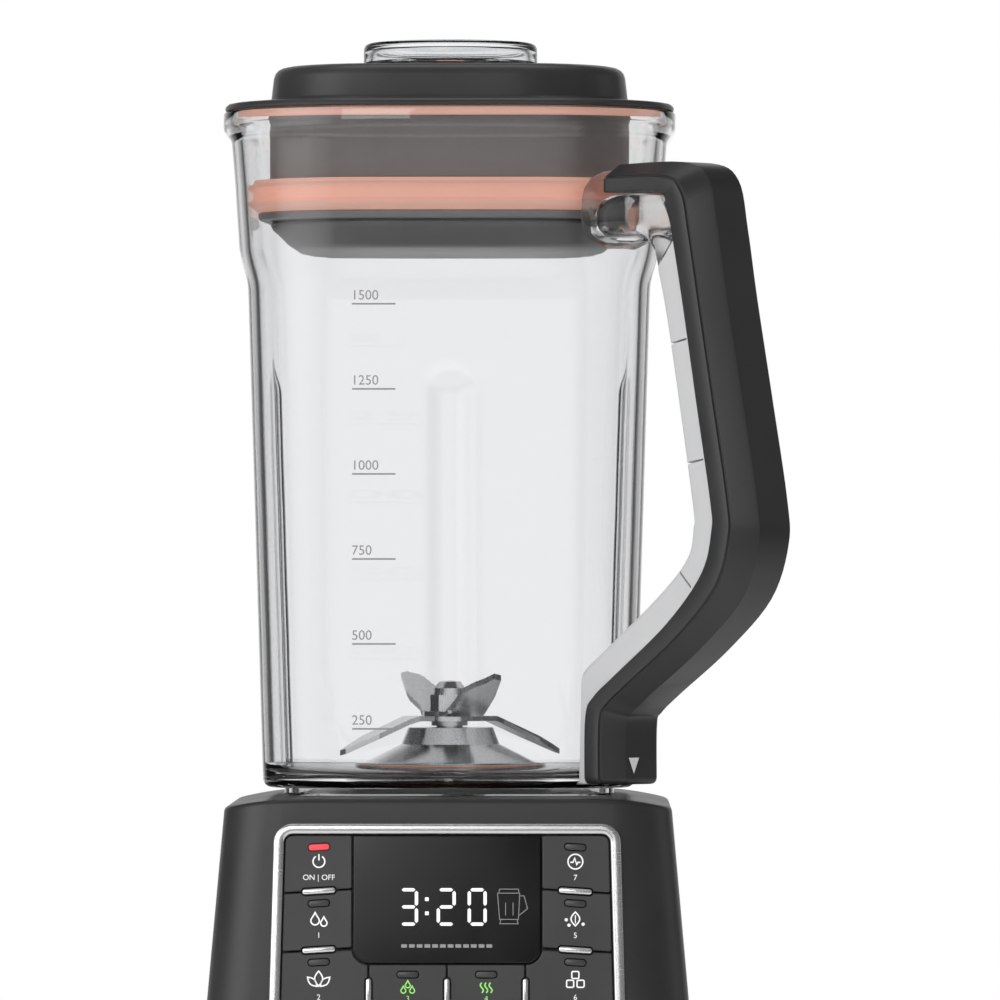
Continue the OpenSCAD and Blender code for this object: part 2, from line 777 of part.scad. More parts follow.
module motor_mounts() {
    color("#1d1d1e") at_corners(stator_half - 13, stator_half - 13) translate([0, 0, plate_top])
        rotate_extrude() polygon([
            [0, 0], [6, 0], [6, 2], [4.5, mount_h / 2], [6, mount_h - 2], [6, mount_h], [0, mount_h]
        ]);
}

module stator_core() {
    color("#7d8185") translate([0, 0, stator_z]) linear_extrude(stator_h) difference() {
        square_outline(stator_half, stator_half, stator_corner_r);
        circle(stator_bore);
        for (pole = [0, 180], a = [-coil_at, coil_at])
            rotate(pole + a) sector(coil_in - part_gap, coil_out + part_gap, -coil_span - 1, coil_span + 1);
        at_corners(bolt_at, bolt_at) circle(bolt_r + fit_gap);
    }
}

module field_coils() {
    end_h = coil_end - part_gap;
    color("#b06a33") for (pole = [0, 180]) rotate(pole) translate([0, 0, stator_z - coil_end]) {
        for (a = [-coil_at, coil_at]) linear_extrude(stator_h + 2 * coil_end)
            sector(coil_in, coil_out, a - coil_span, a + coil_span);
        for (z = [0, stator_h + coil_end + part_gap]) translate([0, 0, z]) linear_extrude(end_h)
            sector(coil_in, coil_out, -coil_at - coil_span, coil_at + coil_span);
    }
}

// Ball bearing: two races with a groove between them on both faces
module bearing() {
    r_in = shaft_r + run_gap;
    groove_in = mix(r_in, bearing_r, 0.35);
    groove_out = mix(r_in, bearing_r, 0.65);
    difference() {
        tube(r_in, bearing_r, bearing_h);
        for (z = [-cut, bearing_h - 0.6]) translate([0, 0, z])
            tube(groove_in, groove_out, cut + 0.6);
    }
}

module motor_bearings() {
    color("#c2c5c8") {
        translate([0, 0, bracket_z]) bearing();
        translate([0, 0, upper_plate_top - bearing_h]) bearing();
    }
}

brush_w = 6;
brush_t = 5;
brush_z = commutator_z + commutator_h / 2;
holder_y = bearing_r + 4;
holder_l = 16;

module brush_holders() {
    height = upper_plate_top - bracket_t - commutator_z;
    color("#6b4a2c") for (side = [0, 180]) rotate(side) difference() {
        translate([-brush_w / 2 - 2, holder_y, commutator_z]) cube([brush_w + 4, holder_l, height]);
        translate([0, holder_y, brush_z])
            cube([brush_w + 2 * fit_gap, 4 * holder_l, brush_t + 2 * fit_gap], center = true);
    }
}

module carbon_brushes() {
    color("#2b2b2d") for (side = [0, 180]) rotate(side)
        translate([-brush_w / 2, commutator_r + part_gap, brush_z - brush_t / 2])
            cube([brush_w, holder_y + holder_l - 4 - commutator_r, brush_t]);
}

module motor_shaft() {
    color("#c9ccce") translate([0, 0, bracket_z - 2])
        cylinder(r = shaft_r, h = drive_z + drive_h - 0.5 - bracket_z + 2);
}

module armature_core() {
    teeth = 16;
    winding_h = 5;
    color("#8a8d90") difference() {
        union() {
            translate([0, 0, stator_z]) linear_extrude(stator_h) difference() {
                circle(armature_r);
                for (i = [0 : teeth - 1]) rotate(360 / teeth * i) translate([armature_r, 0])
                    square([6, 1.6], center = true);
            }
            translate([0, 0, stator_z - winding_h])
                cylinder(r = armature_r - 5, h = stator_h + 2 * winding_h);
        }
        cylinder(r = shaft_r + run_gap, h = seat_h);
    }
}

module commutator() {
    bars = 24;
    color("#b57a45") translate([0, 0, commutator_z]) linear_extrude(commutator_h) difference() {
        circle(commutator_r);
        circle(shaft_r + run_gap);
        for (i = [0 : bars - 1]) rotate(360 / bars * i) translate([commutator_r, 0])
            square([1.6, 0.5], center = true);
    }
}

module cooling_fan() {
    fan_r = stator_half - 4;
    hub_r = 8;
    disc_t = 1.5;
    blades = 13;
    color("#3d3f42") translate([0, 0, fan_z]) {
        tube(shaft_r + run_gap, hub_r, fan_h);
        tube(hub_r - 1, fan_r, disc_t);
        for (i = [0 : blades - 1]) rotate(360 / blades * i) translate([hub_r - 1, -0.7, disc_t / 2])
            cube([fan_r - hub_r, 1.4, fan_h - disc_t / 2]);
    }
}

// Lobed outline of the coupling, grown by a clearance
module coupling_outline(grow) {
    polygon([for (a = [0 : 5 : 355]) (coupling_r + lobe * cos(6 * a) + grow) * [cos(a), sin(a)]]);
}

module drive_coupling() {
    color("#505257") translate([0, 0, drive_z]) linear_extrude(drive_h) difference() {
        coupling_outline(0);
        circle(shaft_r + run_gap);
    }
}

// Outer half width of the jug's body and of its collar at height z
function body_half(z) = mix(jug_foot_half, jug_top_half, (z - jug_bottom) / (shoulder_z - jug_bottom));
function collar_half(z) =
    mix(collar_low_half, collar_top_half, (z - collar_z) / (lip_z - flare_h - collar_z));
function body_corner(z) =
    mix(jug_corner_r, shoulder_corner_r, (z - jug_bottom) / (shoulder_z - jug_bottom));
// Depth of the flute at height z and a distance from its middle, fading over its round top
function flute_at(across, z) =
    let (up = max(z - flute_top + flute_w / 2, 0))
    flute_depth * (1 + cos(180 * min(norm([across, up]) / (flute_w / 2), 1))) / 2;

// Ring round the jug, each side drawn in by the flute
function jug_ring(half, corner, z, wall = 0) =
    let (
        h = half - wall, r = corner - wall,
        quarter = concat(
            [for (i = [-3 : 3]) let (across = flute_w / 6 * i) [h - flute_at(across, z), across]],
            [for (i = [0 : 6]) [h - r + r * cos(15 * i), h - r + r * sin(15 * i)]]
        )
    )
    [for (q = [0 : 3], p = quarter)
        [p.x * cos(90 * q) - p.y * sin(90 * q), p.x * sin(90 * q) + p.y * cos(90 * q), z]];

// Ring of the flare between collar and lip, as a share of the way out and a distance below the lip
function flare_ring(share, down, wall = 0) =
    let (half = mix(collar_top_half, lip_half, share), corner = mix(collar_corner_r, lip_corner_r, share))
    jug_ring(half, corner, lip_z - down, wall);

// Heights at which the fluted body changes
flute_levels = [for (down = [flute_w / 2, flute_w / 4, flute_w / 16, 0]) flute_top - down];

module jug_outside() {
    edge = 2.6;
    low = jug_bottom;
    loft(concat(
        [for (a = [0, 35, 90]) let (z = low + edge * (1 - cos(a)))
            jug_ring(body_half(z) - edge * (1 - sin(a)), body_corner(z), z)],
        [for (z = flute_levels) jug_ring(body_half(z), body_corner(z), z)],
        [
            jug_ring(jug_top_half, shoulder_corner_r, shoulder_z),
            jug_ring(collar_low_half, collar_corner_r - 1, collar_z),
            flare_ring(0, flare_h), flare_ring(0.15, 8.6), flare_ring(0.7, 6.6), flare_ring(0.95, 5.2),
            flare_ring(1, 4.2), flare_ring(1, 0)
        ]
    ));
}

module jug_inside() {
    round_r = 4;
    loft(concat(
        [for (a = [0, 30, 60, 90]) let (z = jug_floor + round_r * (1 - cos(a)))
            jug_ring(body_half(z) - round_r * (1 - sin(a)), body_corner(z), z, jug_wall)],
        [for (z = flute_levels) jug_ring(body_half(z), body_corner(z), z, jug_wall)],
        [
            jug_ring(jug_top_half, shoulder_corner_r, shoulder_z, jug_wall),
            jug_ring(collar_low_half, collar_corner_r - 1, collar_z, jug_wall),
            flare_ring(0, flare_h, jug_wall), flare_ring(0.1, 8.2, jug_wall),
            flare_ring(0.6, 6.2, jug_wall - 0.4), flare_ring(0.95, 4.6, lip_wall),
            flare_ring(1, 3.8, lip_wall), flare_ring(1, -cut, lip_wall)
        ]
    ));
}

// Handle at the front right corner, drawn in a plane through the axis: distance out, height
jug_reach = sqrt(2) * (jug_foot_half - jug_corner_r) + jug_corner_r;
collar_reach = sqrt(2) * (collar_top_half - collar_corner_r) + collar_corner_r;
grip_top = lip_z - 17.3;
grip_low = jug_bottom + 1.5;
function upper(out, down) = [jug_reach + out, grip_top - down];
function lower(out, up) = [jug_reach + out, grip_low + up];

// Back of the cover, seam between cover and clear spine, and front of the spine
handle_back = smooth([
    [collar_reach + 0.6, grip_top], upper(36, 0), upper(47, 5.2), upper(50.9, 20), upper(54.6, 40),
    upper(60.9, 70), lower(67, 85), lower(67.6, 71.4), lower(60.6, 55.4), lower(43, 40.3),
    lower(22.7, 26.9), lower(15, 21.3), lower(13, 17.6), lower(12.9, 0)
], 3);
handle_seam = smooth([
    [collar_reach + 0.6, grip_top - 8.5], upper(31, 9), upper(35.2, 13), upper(37.5, 22), upper(41.8, 42),
    upper(47.6, 72), lower(53.3, 84), lower(53.7, 75.5), lower(49.6, 63), lower(35.3, 48.2),
    lower(14.3, 33.2), lower(4.6, 26.2), lower(1.2, 20), lower(0.9, 0)
], 3);
spine_front = smooth([
    [collar_reach - 7, grip_top - 22], upper(20, 21), upper(27.4, 25), upper(29.6, 32), upper(33.3, 46),
    upper(38.8, 73.5), lower(44.2, 82), lower(44.3, 76.5), lower(41.8, 67.5), lower(30, 56.5),
    lower(8.5, 41), lower(-2, 33), lower(-5, 24), lower(-5, 0)
], 3);

// Solid between two curves of the handle; each part of the section is [share of the depth, half width]
module handle_strip(back, front, section) {
    right = [for (p = section) [p[0], -p[1]]];
    left = [for (i = [len(section) - 1 : -1 : 0]) section[i]];
    rotate(-45) loft([
        for (i = [0 : len(back) - 1]) [
            for (p = concat(right, left))
                let (at = mix(back[i], front[i], p[0])) [at.x, p[1], at.y]
        ]
    ]);
}

module handle_spine() {
    half = handle_w / 2 - 1.5;
    handle_strip(
        [for (i = [0 : len(handle_seam) - 1]) mix(handle_seam[i], spine_front[i], 0.02)],
        spine_front, [[0, half], [0.85, half], [1, half - 1.2]]
    );
}

// Pockets behind the cover, which leave cross ribs standing in the spine
module spine_pockets() {
    half = handle_w / 2 - 3.5;
    for (run = [[9, 13], [14, 17], [18, 22], [23, 28]]) {
        list = [run[0] : run[1]];
        handle_strip(
            [for (i = list) mix(handle_seam[i], handle_back[i], 0.1)],
            [for (i = list) mix(handle_seam[i], spine_front[i], 0.72)],
            [[0, half], [1, half]]
        );
    }
}

module jug() {
    color("#dfe6ea", 0.45) difference() {
        union() {
            jug_outside();
            handle_spine();
            translate([0, 0, foot_z]) linear_extrude(foot_ring_h + 1) difference() {
                square_outline(foot_half, foot_half, jug_corner_r - 4);
                square_outline(foot_half - 4, foot_half - 4, jug_corner_r - 8);
            }
        }
        jug_inside();
        spine_pockets();
        translate([0, 0, foot_z - cut]) cylinder(r = tube_r + 0.5, h = jug_floor - foot_z + 2 * cut);
    }
}

module handle_cover() {
    color("#2e2f31") handle_strip(handle_back, handle_seam, [
        [0, handle_back_w / 2 - 1], [0.04, handle_back_w / 2], [0.44, handle_w / 2 - 0.5],
        [0.5, handle_w / 2], [1, handle_w / 2]
    ]);
}

module blade_holder() {
    color("#b4b7ba") difference() {
        rotate_extrude() polygon([
            [0, holder_bottom], [tube_r, holder_bottom], [tube_r, flange_z], [holder_flange_r, flange_z],
            [holder_flange_r, flange_z + 1.6], [holder_flange_r - 3, flange_z + 2.6],
            [bearing_r + 4, upper_race_z + bearing_h], [bearing_r + 2, holder_top], [0, holder_top]
        ]);
        translate([0, 0, holder_bottom - cut])
            cylinder(r = bearing_r + fit_gap, h = bearing_h + 1 + cut);
        cylinder(r = shaft_r + 2, h = lip_z);
        translate([0, 0, upper_race_z]) cylinder(r = bearing_r + fit_gap, h = bearing_h);
        translate([0, 0, upper_race_z]) cylinder(r = shaft_r + 4, h = bearing_h + 3);
    }
}

module holder_seal() {
    color("#e7a58c") translate([0, 0, jug_floor]) tube(tube_r + 0.6, holder_flange_r - 1, holder_seal_t);
}

module lock_ring() {
    height = 8;
    lugs = 8;
    color("#2c2d2f") translate([0, 0, jug_bottom - height]) difference() {
        cylinder(r = lock_ring_r, h = height);
        translate([0, 0, -cut]) cylinder(r = tube_r + part_gap, h = height + 2 * cut);
        for (i = [0 : lugs - 1]) rotate(360 / lugs * i) translate([lock_ring_r + 1, 0, -cut])
            cylinder(r = 4, h = height - 2 + cut);
    }
}

module blade_bearings() {
    color("#c2c5c8") {
        translate([0, 0, holder_bottom + 1]) bearing();
        translate([0, 0, upper_race_z]) bearing();
    }
}

module shaft_seal() {
    color("#242425") translate([0, 0, upper_race_z + bearing_h])
        tube(shaft_r + part_gap, shaft_r + 4 - fit_gap, 2.8);
}

module blade_shaft() {
    from = drive_z + drive_h + part_gap;
    color("#c9ccce") {
        translate([0, 0, from]) cylinder(r = shaft_r, h = blade_z + 2 * blade_t + 6 - from);
        translate([0, 0, holder_top + 0.6]) cylinder(r = shaft_r + 2, h = blade_z - holder_top - 0.6);
    }
}

// Two-armed blade: a strip whose arms are bent up by an angle, with a ground edge on each
module blade(bend) {
    root = 6;
    bend_at = 13;
    hub_r = 9.5;
    grind = 35;
    end = blade_reach + blade_t;
    miter = blade_t / 2 * tan(bend / 2);
    low_z = (end - bend_at - miter) * tan(bend);
    top_z = blade_t + (end - bend_at + miter) * tan(bend);
    mid = mix(bend_at, blade_reach, 0.6);
    low = [[-end, low_z], [-bend_at - miter, 0], [bend_at + miter, 0], [end, low_z]];
    top = [[end, top_z], [bend_at - miter, blade_t], [miter - bend_at, blade_t], [-end, top_z]];
    arm = [[bend_at, -root], [mid, 0.6 - root], [blade_reach, 1.5], [blade_reach - 1, 4],
        [mid - 2, root - 0.4], [bend_at, root]];
    difference() {
        union() {
            cylinder(r = hub_r, h = blade_t);
            intersection() {
                rotate([90, 0, 0]) linear_extrude(3 * root, center = true) polygon(concat(low, top));
                translate([0, 0, -blade_reach]) linear_extrude(2 * blade_reach)
                    polygon(concat(arm, -arm));
            }
        }
        translate([0, 0, -cut]) cylinder(r = shaft_r + run_gap, h = blade_t + 2 * cut);
        for (turn = [0, 180]) rotate(turn) translate([bend_at + 2, 1 - root, 2 * tan(bend)])
            rotate([0, -bend, 0]) rotate([grind, 0, 0])
                translate([0, -2 * root, 0]) cube([blade_reach, 2 * root, root]);
    }
}

module lower_blade() {
    color("#cfd2d4") translate([0, 0, blade_z]) rotate(20) blade(-24);
}

module upper_blade() {
    color("#cfd2d4") translate([0, 0, blade_z + blade_t]) rotate(110) blade(27);
}

module blade_nut() {
    z = blade_z + 2 * blade_t;
    color("#bfc2c5") translate([0, 0, z]) difference() {
        union() {
            cylinder(r = nut_r, h = 5, $fn = 6);
            translate([0, 0, 4]) rotate_extrude()
                polygon([[0, 0], [nut_r - 1.2, 0], [nut_r - 1.6, 3], [3, 5], [0, 5.4]]);
        }
        translate([0, 0, -cut]) cylinder(r = shaft_r + run_gap, h = 6.2 + cut);
    }
}

module driven_coupling() {
    from = drive_z + 0.5;
    web_z = drive_z + drive_h + part_gap;
    color("#3b3d40") difference() {
        translate([0, 0, from]) cylinder(r = cup_r, h = cup_top - from);
        translate([0, 0, from - cut]) linear_extrude(web_z - from + cut) coupling_outline(part_gap + fit_gap);
        translate([0, 0, from]) cylinder(r = shaft_r + run_gap, h = lip_z);
    }
}

seal_wall = 5.4;
plate_h = 2.6;
lid_corner = collar_corner_r - 8;
flange_corner = lip_corner_r - (lip_half - flange_half);
plate_corner = lip_corner_r - 8;

// Square rings of the lid: height, half width, corner radius
module square_loft(levels) {
    loft([for (l = levels) ring(l[1], l[1], l[2], l[0], 8)]);
}

module lid_cover() {
    socket_r = cap_skirt_r + part_gap;
    top_half = plateau_half - 22;
    color("#2b2c2e") difference() {
        union() {
            difference() {
                square_loft([
                    [flange_bottom, flange_half - 0.6, flange_corner - 0.6],
                    [flange_bottom + 0.6, flange_half, flange_corner],
                    [flange_top - 0.9, flange_half - 0.3, flange_corner - 0.3],
                    [flange_top - 0.3, flange_half - 2, flange_corner - 2],
                    [flange_top, plateau_half + 2, lid_corner + 1],
                    [flange_top + 1, plateau_half, lid_corner],
                    [lid_top - 4.6, plateau_half - 0.4, lid_corner],
                    [lid_top - 2.3, plateau_half - 2, lid_corner],
                    [lid_top - 1.1, plateau_half - 5.4, lid_corner],
                    [lid_top - 0.3, plateau_half - 12, lid_corner - 2],
                    [lid_top, top_half, lid_corner - 4]
                ]);
                square_loft([
                    [flange_bottom - cut, plateau_half - lid_wall, lid_corner - lid_wall],
                    [lid_top - lid_wall - 3, plateau_half - lid_wall, lid_corner - lid_wall],
                    [lid_top - lid_wall, plateau_half - lid_wall - 6, lid_corner - lid_wall]
                ]);
            }
            translate([0, 0, flange_bottom])
                cylinder(r = socket_r + lid_wall, h = lid_top - flange_bottom - 1);
        }
        translate([0, 0, flange_bottom - cut]) cylinder(r = socket_r, h = lid_top);
    }
}

module lid_plug() {
    groove_half = drum_half - 1;
    ring_half = drum_half + 3.4;
    hollow = drum_half - 3.6;
    hollow_r = lid_corner - 3;
    color("#3a3b3d") difference() {
        square_loft([
            [plug_bottom, ring_half - 0.6, lid_corner + 3], [plug_bottom + 0.6, ring_half, lid_corner + 3],
            [seal_bottom, ring_half, lid_corner + 3], [seal_bottom, groove_half, lid_corner],
            [drum_bottom, groove_half, lid_corner], [drum_bottom, drum_half, lid_corner + 1],
            [flange_bottom - plate_h, drum_half, lid_corner + 1],
            [flange_bottom - plate_h, flange_half - seal_wall - 0.8, plate_corner],
            [flange_bottom, flange_half - seal_wall - 0.8, plate_corner]
        ]);
        square_loft([
            [plug_bottom - cut, hollow, hollow_r], [flange_bottom - plate_h - 2, hollow, hollow_r],
            [flange_bottom - plate_h, hollow - 2, hollow_r - 1]
        ]);
        translate([0, 0, flange_bottom - 2 * plate_h]) cylinder(r = 3, h = 4 * plate_h);
    }
}

module lid_tray() {
    gap = 0.5;
    top = plug_bottom - gap;
    low = top - tray_h;
    rim_half = drum_half - 3.6 - part_gap;
    rim_r = lid_corner - 3 - part_gap;
    wall = 2;
    color("#343537") difference() {
        union() {
            square_loft([
                [low, plateau_half - 7, lid_corner - 4],
                [low + 1.2, plateau_half - 5, lid_corner - 3],
                [low + 4, plateau_half - 1.6, lid_corner],
                [top - 1, drum_half - 0.2, lid_corner + 1],
                [top, drum_half - 0.6, lid_corner + 1]
            ]);
            square_loft([[top - 2, rim_half, rim_r], [top + gap + 4, rim_half, rim_r]]);
        }
        square_loft([
            [low + wall, plateau_half - 9, lid_corner - 6],
            [low + 5, rim_half - wall, rim_r - wall],
            [top + gap + 4 + cut, rim_half - wall, rim_r - wall]
        ]);
    }
}

module lid_rim_seal() {
    out = lip_half - lip_wall - part_gap;
    corner = lip_corner_r - lip_wall + 1;
    inner = flange_half - seal_wall - 0.7;
    bulge = 0.4;
    color("#eaa58c") difference() {
        square_loft([
            [rim_z, out - bulge, corner - bulge], [rim_z + rim_seal_t / 2, out, corner],
            [flange_bottom, out - bulge, corner - bulge]
        ]);
        square_loft([[rim_z - cut, inner, plate_corner], [flange_bottom + cut, inner, plate_corner]]);
    }
}

// Plug seal with two lips that run along the collar's wall
module lid_plug_seal() {
    lip = collar_half(seal_bottom) - jug_wall - part_gap;
    body = lip - 1.4;
    inner = drum_half - 1 + fit_gap;
    r = collar_corner_r - jug_wall - 1;
    z = seal_bottom;
    h = plug_seal_h;
    color("#eaa58c") difference() {
        square_loft([
            [z + fit_gap, body - 1.4, r], [z + 0.22 * h, lip - 0.3, r],
            [z + 0.3 * h, lip, r], [z + 0.36 * h, body, r],
            [z + 0.62 * h, body, r], [z + 0.7 * h, lip - 0.1, r],
            [z + 0.78 * h, lip, r], [z + 0.86 * h, body, r],
            [z + h - fit_gap, body - 0.4, r]
        ]);
        square_loft([[z - cut, inner, lid_corner], [z + h + cut, inner, lid_corner]]);
    }
}

module lid_valve() {
    color("#dd9a82") translate([0, 0, flange_bottom]) rotate_extrude() polygon([
        [0, -plate_h - 4], [3, -plate_h - 4], [4.2, -plate_h - 1.5],
        [4.2, -plate_h - fit_gap], [3 - fit_gap, -plate_h],
        [3 - fit_gap, fit_gap], [8, fit_gap], [8.5, 1.2], [7, 2.4], [2.5, 3], [2.5, 5.4], [1.6, 6], [0, 6]
    ]);
}

module lid_cap() {
    low = lid_top + part_gap;
    top = low + cap_h;
    inner = cap_skirt_r - cap_wall;
    color("#e4e8ea", 0.5) rotate_extrude() polygon([
        [inner, flange_bottom + 8], [cap_skirt_r, flange_bottom + 8], [cap_skirt_r, low], [cap_r - 0.8, low],
        [cap_r, low + 0.8], [cap_r, top - 2], [cap_r - 0.6, top - 0.6],
        [cap_r - 2, top], [cap_r - 4, top - 0.2],
        [cap_r - 6, top - 1.6], [0, top - 1.6], [0, top - 1.6 - cap_wall], [inner - 1, top - 1.6 - cap_wall],
        [inner, top - 2.6 - cap_wall]
    ]);
}

base_housing();
base_plate();
rubber_feet();
base_screws();
cord_gland();
well_seal();
control_frame();
panel_carrier();
display_lens();
display_module();
indicator_light_pipes();
key_trim_bars();
control_board();
tact_switches();
power_board();
start_stop_key();
drops_key();
leaf_key();
pulse_key();
grind_key();
ice_key();
cream_key();
soup_key();
speed_knob();
encoder_shaft();
rotary_encoder();
lower_motor_bracket();
upper_motor_bracket();
motor_bolts();
motor_mounts();
stator_core();
field_coils();
motor_bearings();
brush_holders();
carbon_brushes();
motor_shaft();
armature_core();
commutator();
cooling_fan();
drive_coupling();
jug();
handle_cover();
blade_holder();
holder_seal();
lock_ring();
blade_bearings();
shaft_seal();
blade_shaft();
lower_blade();
upper_blade();
blade_nut();
driven_coupling();
lid_cover();
lid_plug();
lid_tray();
lid_rim_seal();
lid_plug_seal();
lid_valve();
lid_cap();
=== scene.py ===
"""Dresses a vacuum blender: motor base with a leaning key panel, clear fluted jug,
corner handle and sealed lid."""
import json
import math

import bmesh
import bpy
from mathutils import Matrix, Vector


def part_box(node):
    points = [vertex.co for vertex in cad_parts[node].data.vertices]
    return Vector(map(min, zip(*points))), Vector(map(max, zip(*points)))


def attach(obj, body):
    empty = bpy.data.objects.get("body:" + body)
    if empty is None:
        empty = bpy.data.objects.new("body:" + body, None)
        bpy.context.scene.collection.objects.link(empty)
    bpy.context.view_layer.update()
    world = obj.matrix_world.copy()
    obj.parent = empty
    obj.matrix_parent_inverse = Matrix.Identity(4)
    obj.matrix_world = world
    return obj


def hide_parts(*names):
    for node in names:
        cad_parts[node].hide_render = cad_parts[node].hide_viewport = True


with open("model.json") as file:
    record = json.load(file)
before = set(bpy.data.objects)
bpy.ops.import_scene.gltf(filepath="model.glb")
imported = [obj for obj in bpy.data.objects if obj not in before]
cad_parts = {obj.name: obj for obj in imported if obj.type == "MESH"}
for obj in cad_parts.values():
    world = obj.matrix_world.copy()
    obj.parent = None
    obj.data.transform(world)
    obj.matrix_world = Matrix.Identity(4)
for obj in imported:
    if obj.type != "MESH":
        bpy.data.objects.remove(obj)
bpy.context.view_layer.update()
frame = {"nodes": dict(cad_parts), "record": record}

MM = 0.001


def low_of(node):
    """Lowest corner of a CAD node, in mm."""
    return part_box(node)[0] / MM


def top_of(node):
    """Highest corner of a CAD node, in mm."""
    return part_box(node)[1] / MM


def mix(a, b, share):
    return a + (b - a) * share


def ease(share):
    """Smooth step between 0 and 1."""
    return share * share * (3 - 2 * share)


def shifted(origin, rows):
    """Rows of measures, each counted from an origin."""
    return [tuple(start + step for start, step in zip(origin, row)) for row in rows]


def arc(middle, radius, start, end, steps=20):
    """Points along an arc between two angles, in degrees."""
    turns = [math.radians(mix(start, end, i / steps)) for i in range(steps + 1)]
    return [(middle[0] + radius * math.cos(a), middle[1] + radius * math.sin(a)) for a in turns]


# Base, in mm
SEAT = top_of("base_housing").z
SKIRT = low_of("base_housing").z
FOOT_HALF = (78.5, 81.0)
SEAT_HALF = (66.7, 70.0)
BASE_CORNER = 18.0
BASE_WALL = 3.0
EDGE = 1.6
ROOF_FLAT = 42.0
ROOF_R = 105.0
WELL_R = 40.0
WELL_FLOOR = low_of("drive_coupling").z - 2.0
LEAN = math.atan((FOOT_HALF[1] - SEAT_HALF[1]) / SEAT)

# Panel, in mm across and up the leaning front
FRAME_W = 3.1
FRAME_R = 5.7
FRAME_T = 1.4
PANEL_TOP = 127.0
PANEL_LOW = 22.0
PANEL_HALF = 51.5
PANEL_FLARE = math.tan(math.radians(1.5))
KEY_GAP = 0.5
KEY_FACE = 0.5
KEY_T = 2.7
KEY_R = 0.6
ROWS = (106.9, 89.4, 71.9)
DROOP = math.radians(3.5)
DISPLAY_HALF = 27.85
DISPLAY_LOW = 85.5
DISPLAY_TOP = PANEL_TOP - FRAME_W - KEY_GAP
DISPLAY_R = 4.5
MID_HALF = 23.3
BAR_U = (DISPLAY_HALF + PANEL_HALF - FRAME_W) / 2
KNOB_UP = 47.0
KNOB_R, KNOB_H = 17.5, 14.0
CARRIER_FLOOR = -3.4
PANEL = Matrix.Translation((0, -FOOT_HALF[1] * MM, 0)) @ Matrix.Rotation(math.pi / 2 - LEAN, 4, "X")

# Jug, in mm
JUG_LOW = low_of("jug").z
LIP = top_of("jug").z
JUG_BOTTOM = JUG_LOW + 2.2
JUG_FLOOR = JUG_BOTTOM + 3.5
SHOULDER = JUG_LOW + 154.0
COLLAR = SHOULDER + 10.0
JUG_WALL = 3.2
FOOT_RING = 49.7
BODY_FOOT, BODY_TOP = 56.1, 60.7
COLLAR_LOW, COLLAR_TOP = 63.7, 65.7
LIP_HALF = 68.4
LIP_WALL = 2.4
BODY_CORNER, SHOULDER_CORNER = 25.0, 30.0
COLLAR_CORNER, LIP_CORNER = 40.0, 46.0
FLUTE_W, FLUTE_DEPTH = 22.0, 3.2
FLUTE_TOP = JUG_LOW + 132.0
TUBE_R = 17.5

# Lid, in mm
RIM = low_of("lid_rim_seal").z
FLANGE_LOW = low_of("lid_cover").z
LID_TOP = top_of("lid_cover").z
FLANGE_TOP = FLANGE_LOW + 2.2
FLANGE_HALF = top_of("lid_cover").x
FLANGE_CORNER = LIP_CORNER - (LIP_HALF - FLANGE_HALF)
PLATE_CORNER = 38.0
PLATEAU_HALF = 53.6
LID_CORNER = 32.0
LID_WALL = 2.6
DRUM_HALF = 54.6
DRUM_LOW = FLANGE_LOW - 21.0
SEAL_LOW = low_of("lid_plug_seal").z - 0.1
PLUG_LOW = low_of("lid_plug").z
CAP_LOW = LID_TOP + 0.3
CAP_TOP = top_of("lid_cap").z
CAP_R = top_of("lid_cap").x


def deselect_all():
    if bpy.context.object and bpy.context.object.mode != "OBJECT":
        bpy.ops.object.mode_set(mode="OBJECT")
    bpy.ops.object.select_all(action="DESELECT")


def pick(piece):
    deselect_all()
    piece.select_set(True)
    bpy.context.view_layer.objects.active = piece


def ring_of_corners(name, corners, fill="NOTHING"):
    """A circle primitive with its corners moved to the given places, in mm."""
    deselect_all()
    bpy.ops.mesh.primitive_circle_add(vertices=len(corners), radius=1, fill_type=fill)
    piece = bpy.context.object
    piece.name = piece.data.name = name
    for corner, place in zip(piece.data.vertices, corners):
        corner.co = Vector(place) * MM
    return piece


SMOOTH_ANGLE = 32
WELD = 0.000001


def smooth(piece, angle=SMOOTH_ANGLE):
    pick(piece)
    bpy.ops.object.shade_smooth_by_angle(angle=math.radians(angle))
    return piece


def start_edit():
    bpy.ops.object.mode_set(mode="EDIT")
    bpy.ops.mesh.select_all(action="SELECT")


def end_edit():
    """Turns all faces outward and goes back to the whole piece."""
    bpy.ops.mesh.select_all(action="SELECT")
    bpy.ops.mesh.normals_make_consistent(inside=False)
    bpy.ops.object.mode_set(mode="OBJECT")


def skin(name, rings, loop=False, angle=SMOOTH_ANGLE):
    """Extrudes the first ring through the others, then closes both ends, or joins the last to the first."""
    piece = ring_of_corners(name, rings[0])
    places = [tuple(v.co) for v in piece.data.vertices]
    start_edit()
    for ring in rings[1:] + ([rings[0]] if loop else []):
        bpy.ops.mesh.extrude_edges_move()
        mesh = bmesh.from_edit_mesh(piece.data)
        fresh = {tuple(v.co): v for v in mesh.verts if v.select}
        corners = [fresh[place] for place in places]
        for corner, place in zip(corners, ring):
            corner.co = Vector(place) * MM
        places = [tuple(v.co) for v in corners]
        bmesh.update_edit_mesh(piece.data)
    bpy.ops.mesh.select_all(action="SELECT")
    if loop:
        bpy.ops.mesh.remove_doubles(threshold=WELD)
    else:
        bpy.ops.mesh.fill_holes(sides=0)
    end_edit()
    return smooth(piece, angle)


CORNER_STEPS = 8


